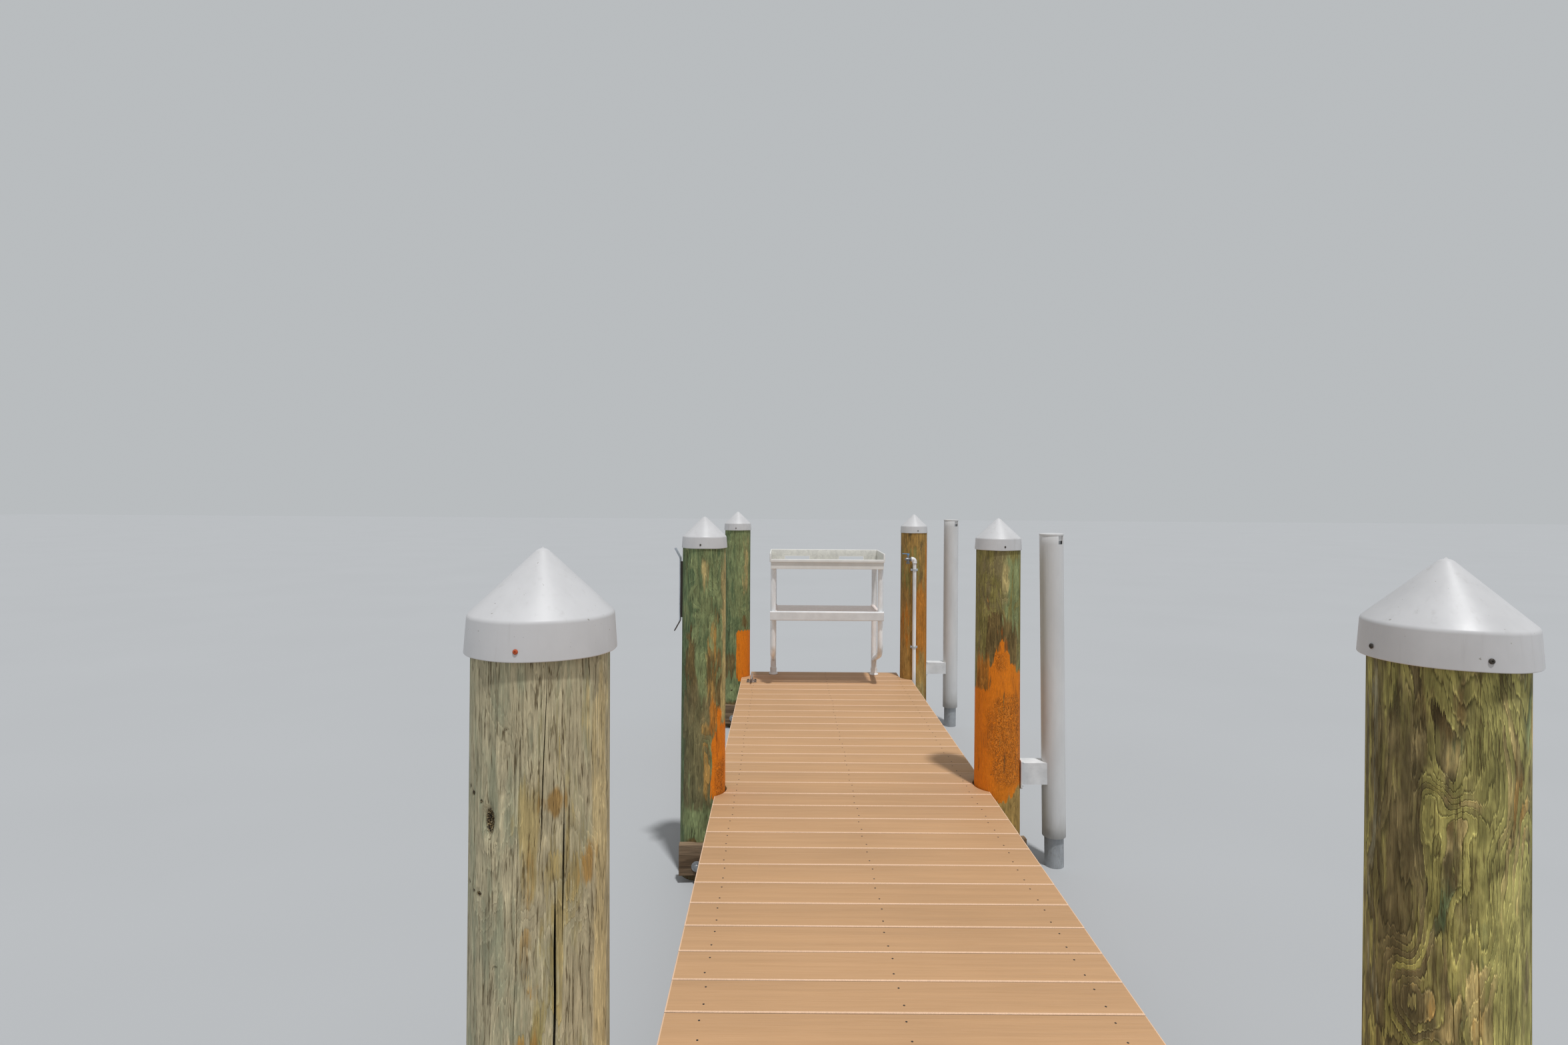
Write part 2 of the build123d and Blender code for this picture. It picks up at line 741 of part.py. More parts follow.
# Hanger: a flat bar with both ends turned out, on a backing strip
pile = pile_rows["mid"][0]
pile_x, pile_y = pile_spot("mid", pile)
hanger_base = deck_level + hanger_bottom
bar_x = pile_x - pile.radius - hanger_standoff
flare_x = bar_x - hanger_flare
hanger_top = hanger_base + hanger_height
with BuildPart() as hanger:
    with BuildSketch(Plane((0, pile_y + hanger_width / 2, 0), (1, 0, 0), (0, -1, 0))):
        with BuildLine():
            FilletPolyline(
                (flare_x, hanger_base),
                (bar_x, hanger_base + hanger_flare_height),
                (bar_x, hanger_top - hanger_flare_height),
                (flare_x, hanger_top),
                radius=hanger_bend_radius,
            )
            offset(amount=hanger_thickness, side=Side.LEFT)
        make_face()
    extrude(amount=hanger_width)
    backing_base = hanger_base + hanger_flare_height + hanger_backing_inset
    backing_height = hanger_top - hanger_flare_height - hanger_backing_inset - backing_base
    with BuildSketch(Plane.XY.offset(backing_base)):
        with Locations((bar_x, pile_y)):
            Rectangle(pile.radius, hanger_backing_width, align=(Align.MIN, Align.CENTER))
        with Locations((pile_x, pile_y)):
            Circle(pile_radius(pile, backing_base) + hanger_fit, mode=Mode.SUBTRACT)
    extrude(amount=backing_height)
keep(hanger, "line_hanger")
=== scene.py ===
import random
from collections import namedtuple
from dataclasses import dataclass
from math import atan2, ceil, cos, degrees, exp, hypot, pi, radians, sin, sqrt, tan, tau

import bmesh
import bpy
from bpy.props import FloatProperty, FloatVectorProperty, PointerProperty
from bpy.types import Operator, Panel, PropertyGroup
from mathutils import Matrix, Vector
from mathutils.noise import noise


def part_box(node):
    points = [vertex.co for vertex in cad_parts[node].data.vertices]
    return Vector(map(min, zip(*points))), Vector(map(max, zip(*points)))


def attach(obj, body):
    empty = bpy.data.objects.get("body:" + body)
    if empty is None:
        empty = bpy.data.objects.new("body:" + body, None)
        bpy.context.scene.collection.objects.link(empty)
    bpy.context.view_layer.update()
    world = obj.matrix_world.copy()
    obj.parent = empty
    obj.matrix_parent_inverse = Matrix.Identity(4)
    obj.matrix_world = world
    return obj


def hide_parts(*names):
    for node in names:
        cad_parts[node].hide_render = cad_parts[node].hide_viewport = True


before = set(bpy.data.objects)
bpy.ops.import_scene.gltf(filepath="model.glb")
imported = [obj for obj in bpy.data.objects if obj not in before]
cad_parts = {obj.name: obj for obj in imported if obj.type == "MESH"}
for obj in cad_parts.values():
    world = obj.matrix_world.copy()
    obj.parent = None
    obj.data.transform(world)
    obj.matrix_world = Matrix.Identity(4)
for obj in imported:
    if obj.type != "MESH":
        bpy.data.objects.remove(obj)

bl_info = {
    "name": "Timber jetty",
    "version": (1, 0, 0),
    "blender": (4, 5, 0),
    "location": "View3D > Sidebar > Jetty",
    "description": "Dresses the frame of a timber jetty: piles, deck boards, table and fittings",
    "category": "Object",
}

ROWS = ("shore", "near", "mid", "far")
SIDES = ("left", "right")
BAYS = ("shore", "middle", "far")
STRINGERS = ("left_stringer", "centre_stringer", "right_stringer")
TINTS = (
    "moss", "umber", "drab", "sage", "lime", "olive", "mint", "straw", "sand", "ochre", "rust", "ember",
    "peel", "worm",
)
PLAIN_TINTS = TINTS[2:-2]
WELD = 0.00002
DAP_DEPTH = 0.012
BEAM_WIDTH = 0.038
BEAM_HEIGHT = 0.140
CAP_SCREW_LEVEL = 0.018
CAP_SHOULDER = 0.962
CAP_SKIRT = 0.493
POST_RADIUS = 0.0215
TRAY_WALL = 0.010
TRAY_OVERHANG = 0.009
TRAY_SHELL = 0.050
TRAY_FLOOR = 0.033
TRAY_LIP_DROP = 0.042
TRAY_POCKET = 0.022
SLOT_OFFSET = 0.210
SLOT_WIDTH = 0.188
SLOT_TOP = 0.060
SUN_DIRECTION = (0.17, -0.40, 1.30)
MID_ROW_AHEAD = 1.2355


def colour(name, description, default):
    """A colour that a user can change."""
    return FloatVectorProperty(
        name=name, description=description, default=default, size=3, min=0, max=1, subtype="COLOR"
    )


def length(name, description, default):
    """A length that a user can change, in metres."""
    return FloatProperty(name=name, description=description, default=default, unit="LENGTH")


class JettyTimber(PropertyGroup):
    """Colours of the piles and of the sawn timbers"""

    bleached: colour("Bleached", "Sun-bleached grey-beige timber", (0.58, 0.515, 0.335))
    sage: colour("Sage", "Grey-green timber", (0.36, 0.36, 0.24))
    sand: colour("Sand", "Pale warm timber on the sunny side", (0.70, 0.57, 0.30))
    straw: colour("Straw", "Dry straw-coloured timber", (0.49, 0.385, 0.165))
    lime: colour("Lime", "Bright olive timber on the sunny side", (0.44, 0.405, 0.135))
    drab: colour("Drab", "Grey-brown weathered timber", (0.20, 0.165, 0.078))
    olive: colour("Olive", "Yellow-green treated timber", (0.31, 0.27, 0.085))
    moss: colour("Moss", "Dark green of the preservative", (0.105, 0.148, 0.070))
    mint: colour("Mint", "Pale green bloom", (0.27, 0.32, 0.145))
    umber: colour("Umber", "Dark brown weathered timber", (0.150, 0.102, 0.038))
    ochre: colour("Ochre", "Warm tan stretches", (0.46, 0.27, 0.075))
    orange: colour("Fresh orange", "Timber where the skin has peeled off", (0.86, 0.245, 0.012))
    ember: colour("Ember", "Brown-orange timber", (0.54, 0.20, 0.024))
    rust: colour("Deep orange", "Darker peeled timber", (0.36, 0.105, 0.014))
    # Painted highlight on the ridges of peeled timber.
    peel_highlight: colour("Flake", "Pale ridges on peeled timber", (0.95, 0.42, 0.10))
    # Split: near black; inside the splits it is painted shade of their depth, and knots and nicks take it in
    # their hollows. The sawn timbers take it for their darkest fibres.
    dark: colour("Split", "Inside of splits and knots", (0.012, 0.009, 0.006))
    framing: colour("Sawn timber", "Beams, stringers and joists", (0.27, 0.19, 0.12))
    framing_dark: colour("Sawn timber, damp", "Dark grain of the sawn timbers", (0.11, 0.07, 0.04))
    taper: FloatProperty(name="Taper", description="Loss of a pile's radius with height", default=0.003)
    column_size: length("Column size", "Width of a pile's faces", 0.0058)
    ring_size: length("Ring size", "Height of a pile's faces", 0.0085)


class JettyDeck(PropertyGroup):
    """Sizes and colours of the deck boards"""

    tan: colour("Board", "Tan composite board", (0.535, 0.318, 0.165))
    # Painted highlight on the boards' rounded near edges and on the deck's side edges.
    pale: colour("Worn edge", "Paler near edge of a board", (0.86, 0.60, 0.42))
    grain: colour("Grain", "Darker streaks of the brushed face", (0.47, 0.27, 0.13))
    gap: length("Gap", "Between two boards", 0.003)
    pitch: length("Pitch", "From board to board", 0.143)
    arris: length("Arris", "Rounding of a board's edges", 0.003)
    # Width of the painted highlight strip along a board's near edge.
    worn: length("Worn strip", "Pale strip along a board's near edge", 0.0046)
    notch_gap: length("Notch gap", "Between a notch and its pile", 0.006)
    arc_step: length("Arc step", "Length of a face along a notch", 0.009)
    screw_radius: length("Screw radius", "Head of a deck screw", 0.0029)
    screw_spread: length("Screw spread", "From a board's middle to its screws", 0.038)


class JettyPlastic(PropertyGroup):
    """Colours of the mouldings and pipes"""

    cap: colour("Pile cap", "White moulded plastic", (0.60, 0.60, 0.61))
    sleeve: colour("Sleeve", "Grey-white plastic pipe", (0.66, 0.66, 0.66))
    pipe: colour("Water pipe", "White plastic pipe", (0.80, 0.80, 0.80))
    tray: colour("Tray", "White rims of the tray", (0.78, 0.77, 0.74))
    soiled: colour("Soiled tray", "Stained inside of the tray", (0.56, 0.55, 0.49))
    grime: colour("Grime", "Dirt in corners and streaks", (0.16, 0.14, 0.10))
    rust: colour("Rust", "Rusty screws and their stains", (0.50, 0.09, 0.025))
    cap_wall: length("Cap wall", "Thickness of a pile cap", 0.003)


class JettyMetal(PropertyGroup):
    """Colours of the metal pieces"""

    enamel: colour("White enamel", "Powder coat of the table and brackets", (0.86, 0.87, 0.88))
    # The shelf panel's pale pink is painted light: a reflection of the deck in the tray's shade.
    worn: colour("Worn enamel", "Pinkish undercoat of the shelf", (0.95, 0.83, 0.78))
    zinc: colour("Zinc", "Galvanised steel", (0.40, 0.42, 0.44))
    bright: colour("Bright zinc", "Galvanised bar of the hanger", (0.48, 0.53, 0.60))
    cast: colour("Casting", "Galvanised casting of the cleat", (0.36, 0.30, 0.26))
    steel: colour("Dark steel", "Screws and bolts that have gone dark", (0.07, 0.06, 0.05))
    brass: colour("Brass", "Dull plated brass of the tap", (0.27, 0.28, 0.29))
    blue: colour("Blue enamel", "Handle of the tap", (0.16, 0.34, 0.58))


class JettyStage(PropertyGroup):
    """Floor, light and camera"""

    floor: colour("Floor", "Plain floor", (0.44, 0.455, 0.47))
    backdrop: colour("Backdrop", "What shows behind the jetty", (0.485, 0.506, 0.520))
    fill: FloatProperty(name="Fill", description="Even light from all round", default=0.42)
    key: FloatProperty(name="Key", description="Strength of the soft sun", default=2.3)
    key_size: FloatProperty(name="Key size", description="Softness of its shadows", default=0.06)
    focal_pixels: FloatProperty(
        name="Focal length", description="In pixels of the photograph", default=1199.0,
    )
    photo_width: FloatProperty(name="Photograph width", description="In pixels", default=2352.0)
    eye_height: length("Eye height", "Camera above the deck", 1.372)
    eye_across: length("Eye across", "Camera from the middle of the deck", -0.332)
    eye_back: length("Eye back", "Camera from the middle row of piles", -3.79)
    horizon: FloatProperty(name="Horizon", description="Pixels above the photograph's middle", default=38.5)
    yaw: FloatProperty(name="Yaw", description="Degrees to the right", default=0.03)
    roll: FloatProperty(name="Roll", description="Degrees anticlockwise", default=0.38)


class Value:
    """A number that a material works out at each place."""

    def __init__(self, finish, socket):
        self.finish = finish
        self.socket = socket

    def __add__(self, other):
        return self.finish.math("ADD", self, other)

    def __sub__(self, other):
        return self.finish.math("SUBTRACT", self, other)

    def __rsub__(self, other):
        return self.finish.math("SUBTRACT", other, self)

    def __mul__(self, other):
        return self.finish.math("MULTIPLY", self, other)

    def __abs__(self):
        return self.finish.math("ABSOLUTE", self)

    def around(self, spread):
        """A noise value spread evenly about zero."""
        return (self - 0.5) * spread

    def step(self, low, high, bottom=0.0, top=1.0):
        """Goes smoothly from bottom to top as the number goes from low to high."""
        inputs = {0: self, 1: low, 2: high, 3: bottom, 4: top}
        return self.finish.value("ShaderNodeMapRange", inputs, interpolation_type="SMOOTHSTEP")


class Finish:
    """The nodes of one material. Patterns read the object's own coordinates,
    from a middle that each piece gives."""

    def __init__(self, name, middle=(0, 0, 0)):
        self.material = bpy.data.materials.new(name)
        self.material.use_nodes = True
        self.tree = self.material.node_tree
        self.shader = self.tree.nodes["Principled BSDF"]
        place = self.add("ShaderNodeTexCoord").outputs["Object"]
        self.place = self.vector("SUBTRACT", place, middle)

    def add(self, kind, inputs=(), **settings):
        """A node with its settings, fed with the values or sockets given."""
        node = self.tree.nodes.new(kind)
        for key, value in settings.items():
            setattr(node, key, value)
        for key, value in dict(inputs).items():
            self.feed(node.inputs[key], value)
        return node

    def value(self, kind, inputs=(), output=0, **settings):
        """The number that a new node gives."""
        return Value(self, self.add(kind, inputs, **settings).outputs[output])

    def feed(self, socket, value):
        """Links a socket to another, or sets its value."""
        if isinstance(value, Value):
            value = value.socket
        if isinstance(value, bpy.types.NodeSocket):
            self.tree.links.new(value, socket)
        elif socket.type == "RGBA" and len(value) == 3:
            socket.default_value = (*value, 1)
        else:
            socket.default_value = value

    def vector(self, operation, first, second):
        """A vector worked out from two."""
        node = self.add("ShaderNodeVectorMath", {0: first, 1: second}, operation=operation)
        return node.outputs["Vector"]

    def distance(self, point, stretch=(1, 1, 1)):
        """Distance from a point, with each direction stretched."""
        offset = self.vector("SUBTRACT", self.place, point)
        offset = self.vector("MULTIPLY", offset, stretch)
        return self.value("ShaderNodeVectorMath", {0: offset}, "Value", operation="LENGTH")

    def math(self, operation, first, second=0.0):
        """A number worked out from two."""
        return self.value("ShaderNodeMath", {0: first, 1: second}, operation=operation)

    def noise(self, stretch, detail=3.0, roughness=0.55, distortion=0.0, seed=0.0):
        """Soft noise, with its scale given in each direction."""
        offset = (seed * 3.7, seed * 5.3, seed * 7.9)
        inputs = {0: self.place, 1: stretch, 2: offset}
        place = self.add("ShaderNodeVectorMath", inputs, operation="MULTIPLY_ADD").outputs["Vector"]
        inputs = {"Vector": place, "Scale": 1.0, "Detail": detail}
        inputs.update({"Roughness": roughness, "Distortion": distortion})
        return self.value("ShaderNodeTexNoise", inputs)

    def mix(self, share, first, second, blend="MIX"):
        """A colour between two."""
        inputs = {0: share, 6: first, 7: second}
        return self.add("ShaderNodeMix", inputs, data_type="RGBA", blend_type=blend).outputs[2]

    def grade(self, shade, value):
        """A colour made lighter or darker by a number."""
        grey = self.add("ShaderNodeCombineColor", {0: value, 1: value, 2: value}).outputs[0]
        return self.mix(1.0, shade, grey, "MULTIPLY")

    def attribute(self, name):
        """A value that the mesh carries on its points."""
        return self.value("ShaderNodeAttribute", output="Fac", attribute_name=name)

    def axis(self, name):
        """Distance from the middle along one axis."""
        return self.value("ShaderNodeSeparateXYZ", {0: self.place}, name)

    def bump(self, height, distance, below=None):
        """Relief of that depth, on top of another."""
        inputs = {"Height": height, "Distance": distance, "Strength": 1.0}
        if below is not None:
            inputs["Normal"] = below
        return self.add("ShaderNodeBump", inputs).outputs[0]

    def done(self, shade, roughness, relief=None, metallic=0.0, specular=0.5):
        """Wires the shader and hands over the material."""
        self.feed(self.shader.inputs["Base Color"], shade)
        self.feed(self.shader.inputs["Roughness"], roughness)
        self.shader.inputs["Metallic"].default_value = metallic
        self.shader.inputs["Specular IOR Level"].default_value = specular
        if relief is not None:
            self.feed(self.shader.inputs["Normal"], relief)
        return self.material


def piece(name, shape, finishes, nodes=(), sharp=32):
    """Makes a finished bmesh a piece that rides on the jetty."""
    mesh = bpy.data.meshes.new(name)
    for face in shape.faces:
        face.smooth = True
    shape.to_mesh(mesh)
    shape.free()
    mesh.set_sharp_from_angle(angle=radians(sharp))
    for material in finishes:
        mesh.materials.append(material)
    thing = bpy.data.objects.new(name, mesh)
    bpy.context.scene.collection.objects.link(thing)
    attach(thing, "root")
    if nodes:
        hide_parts(*nodes)


def dress(node, material, arris=0.0):
    """Gives a solid of the frame its finish, and rounds its edges without
    touching its mesh."""
    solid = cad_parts[node]
    solid.data.materials.clear()
    solid.data.materials.append(material)
    if arris:
        weld = solid.modifiers.new("weld", "WELD")
        weld.merge_threshold = WELD
        rounding = solid.modifiers.new("arris", "BEVEL")
        rounding.width = arris
        rounding.segments = 2
        rounding.limit_method = "ANGLE"
        rounding.angle_limit = radians(40)
        rounding.harden_normals = True


def centre(node):
    """Middle of a solid's box."""
    low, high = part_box(node)
    return (low + high) / 2


def scaled(shade, share):
    """A colour made lighter or darker."""
    return tuple(share * part for part in shade)


def put(shape, part, matrix=Matrix.Identity(4), finish=0):
    """Moves a part into a shape at its place, and returns its new points."""
    count = len(shape.verts)
    for face in part.faces:
        face.material_index = finish
    bmesh.ops.transform(part, matrix=matrix, verts=part.verts)
    scratch = bpy.data.meshes.new("scratch")
    part.to_mesh(scratch)
    part.free()
    shape.from_mesh(scratch)
    bpy.data.meshes.remove(scratch)
    shape.verts.ensure_lookup_table()
    return shape.verts[count:]


def at(point):
    """Matrix that sets a part down at a point."""
    return Matrix.Translation(point)


def aim(point, direction):
    """Matrix that stands a part's Z axis on a point, along a direction."""
    return at(point) @ Vector(direction).to_track_quat("Z", "Y").to_matrix().to_4x4()


def round_edges(part, radius, edges=None, segments=2):
    """Rounds a part's edges."""
    bmesh.ops.bevel(
        part,
        geom=edges if edges is not None else part.edges[:],
        offset=radius,
        affect="EDGES",
        segments=segments,
        profile=0.5,
        material=-1,
    )


def block(low, high, arris=0.0):
    """A box between two corners, with rounded edges."""
    low, high = Vector(low), Vector(high)
    part = bmesh.new()
    bmesh.ops.create_cube(part, size=1)
    bmesh.ops.scale(part, vec=high - low, verts=part.verts)
    bmesh.ops.translate(part, vec=(low + high) / 2, verts=part.verts)
    if arris:
        round_edges(part, arris)
    return part


def rounded(points, radii, steps=5):
    """An open line with its inner corners rounded, in two or three dimensions."""
    points = [Vector(point) for point in points]
    if not isinstance(radii, (list, tuple)):
        radii = [radii] * (len(points) - 2)
    line = [points[0]]
    for before, corner, after, radius in zip(points, points[1:], points[2:], radii):
        back, ahead = (before - corner).normalized(), (after - corner).normalized()
        half = back.angle(ahead) / 2
        reach = radius / tan(half)
        start = corner + back * reach
        middle = corner + (back + ahead).normalized() * radius / sin(half)
        spread = pi - 2 * half
        across = (start - middle).normalized()
        along = -back
        for step in range(steps + 1):
            turn = spread * step / steps
            line.append(middle + radius * (across * cos(turn) + along * sin(turn)))
    line.append(points[-1])
    return line


def turned(profile, steps=64):
    """Spins a line of (radius, height) points about the Z axis."""
    part = bmesh.new()
    points = [part.verts.new((radius, 0, height)) for radius, height in profile]
    edges = [part.edges.new(pair) for pair in zip(points, points[1:])]
    axis = {"cent": (0, 0, 0), "axis": (0, 0, 1), "angle": tau}
    bmesh.ops.spin(part, geom=points + edges, steps=steps, use_merge=True, **axis)
    bmesh.ops.remove_doubles(part, verts=part.verts, dist=WELD)
    bmesh.ops.recalc_face_normals(part, faces=part.faces)
    return part


def swept(radius, line, sides):
    """A round bar along a line of points."""
    part = bmesh.new()
    line = [Vector(point) for point in line]
    heading = (line[1] - line[0]).normalized()
    start = aim(line[0], heading)
    ring = bmesh.ops.create_circle(part, radius=radius, segments=sides, cap_ends=True, matrix=start)
    edges = list({edge for vert in ring["verts"] for edge in vert.link_edges})
    for index in range(1, len(line)):
        behind = (line[index] - line[index - 1]).normalized()
        tangent = behind
        if index + 1 < len(line):
            tangent = ((line[index + 1] - line[index]).normalized() + behind).normalized()
        turn = heading.rotation_difference(tangent).to_matrix().to_4x4()
        onward = at(line[index]) @ turn @ at(-line[index - 1])
        made = bmesh.ops.extrude_edge_only(part, edges=edges)["geom"]
        points = [item for item in made if isinstance(item, bmesh.types.BMVert)]
        edges = [item for item in made if isinstance(item, bmesh.types.BMEdge)]
        edges = [edge for edge in edges if all(vert in points for vert in edge.verts)]
        bmesh.ops.transform(part, matrix=onward, verts=points)
        heading = tangent
    bmesh.ops.holes_fill(part, edges=part.edges, sides=0)
    bmesh.ops.recalc_face_normals(part, faces=part.faces)
    return part


def strip(line, width, thickness, arris):
    """A flat bar along a bent middle line of (across, up) points, centred on Y = 0."""
    line = [Vector(point) for point in line]
    near, far = [], []
    for index, point in enumerate(line):
        ahead = line[min(index + 1, len(line) - 1)] - line[max(index - 1, 0)]
        aside = Vector((-ahead.y, ahead.x)).normalized() * thickness / 2
        near.append(point + aside)
        far.append(point - aside)
    return slab([(across, -width / 2, up) for across, up in near + far[::-1]], (0, width, 0), arris, 1)


def slab(outline, depth, arris=0.0, segments=2):
    """A flat outline pushed along a direction, with both its rims rounded."""
    part = bmesh.new()
    base = part.faces.new([part.verts.new(point) for point in outline])
    made = bmesh.ops.extrude_face_region(part, geom=[base])["geom"]
    top = {item for item in made if isinstance(item, bmesh.types.BMVert)}
    bmesh.ops.translate(part, vec=depth, verts=list(top))
    bmesh.ops.recalc_face_normals(part, faces=part.faces)
    rims = [edge for edge in part.edges if len(top & set(edge.verts)) != 1]
    if arris:
        round_edges(part, arris, rims, segments)
    return part


def slot_outline(length, width, steps=8):
    """Outline of a plate with two round ends, along X."""
    half, radius = (length - width) / 2, width / 2
    points = []
    for side in (1, -1):
        for step in range(steps + 1):
            turn = pi * (step / steps - 0.5)
            points.append((side * (half + radius * cos(turn)), side * radius * sin(turn), 0))
    return points


def prism(radius, height, level, bevel):
    """A hexagon with its edges eased, from a level up."""
    part = bmesh.new()
    bmesh.ops.create_cone(
        part, cap_ends=True, segments=6, radius1=radius, radius2=radius, depth=height,
        matrix=at((0, 0, level + height / 2)),
    )
    round_edges(part, bevel, segments=1)
    return part


def bolt(radius, washer):
    """A bolt's head on its washer, standing on Z = 0."""
    part = bmesh.new()
    seat = radius * 0.22
    bmesh.ops.create_cone(
        part, cap_ends=True, segments=20, radius1=washer, radius2=washer * 0.97, depth=seat,
        matrix=at((0, 0, seat / 2)),
    )
    put(part, prism(radius, radius * 0.75, seat, radius * 0.12))
    return part


def pan_screw(radius):
    """A screw's domed head with its socket, standing on Z = 0."""
    rise = radius * 0.45
    profile = [(radius, 0), (radius * 0.95, rise * 0.5), (radius * 0.6, rise), (radius * 0.3, rise)]
    profile += [(radius * 0.24, rise * 0.4), (0, rise * 0.35)]
    return turned(profile, 12)


# How a pile has weathered. Azimuths are degrees from the shore side, positive
# towards the right, and levels are metres above the deck. A drying split is
# widest at the share of its height given by peak. A patch is a stretch where
# the surface differs. A knot can also be a nick. A swirl is growth rings that
# close round a place.
Split = namedtuple("Split", "top_azimuth foot_azimuth low high width depth peak", defaults=(0.5,))
Patch = namedtuple("Patch", "azimuth reach low high strength feather")
Knot = namedtuple("Knot", "azimuth level width height depth dark")
Swirl = namedtuple("Swirl", "azimuth level width height rings")


@dataclass
class Weather:
    """One pile: two main colours, how strongly its rings show, the share that
    moss and brown take of the whole, and its patches by kind."""

    seed: float
    light: str
    dark: str
    figure: float
    moss: float
    umber: float
    patches: dict
    splits: tuple = ()
    knots: tuple = ()
    swirls: tuple = ()
    screws: tuple = (0, 120, -120)
    rusty: tuple = ()
    grain: float = 0.6
    checks: float = 0.6


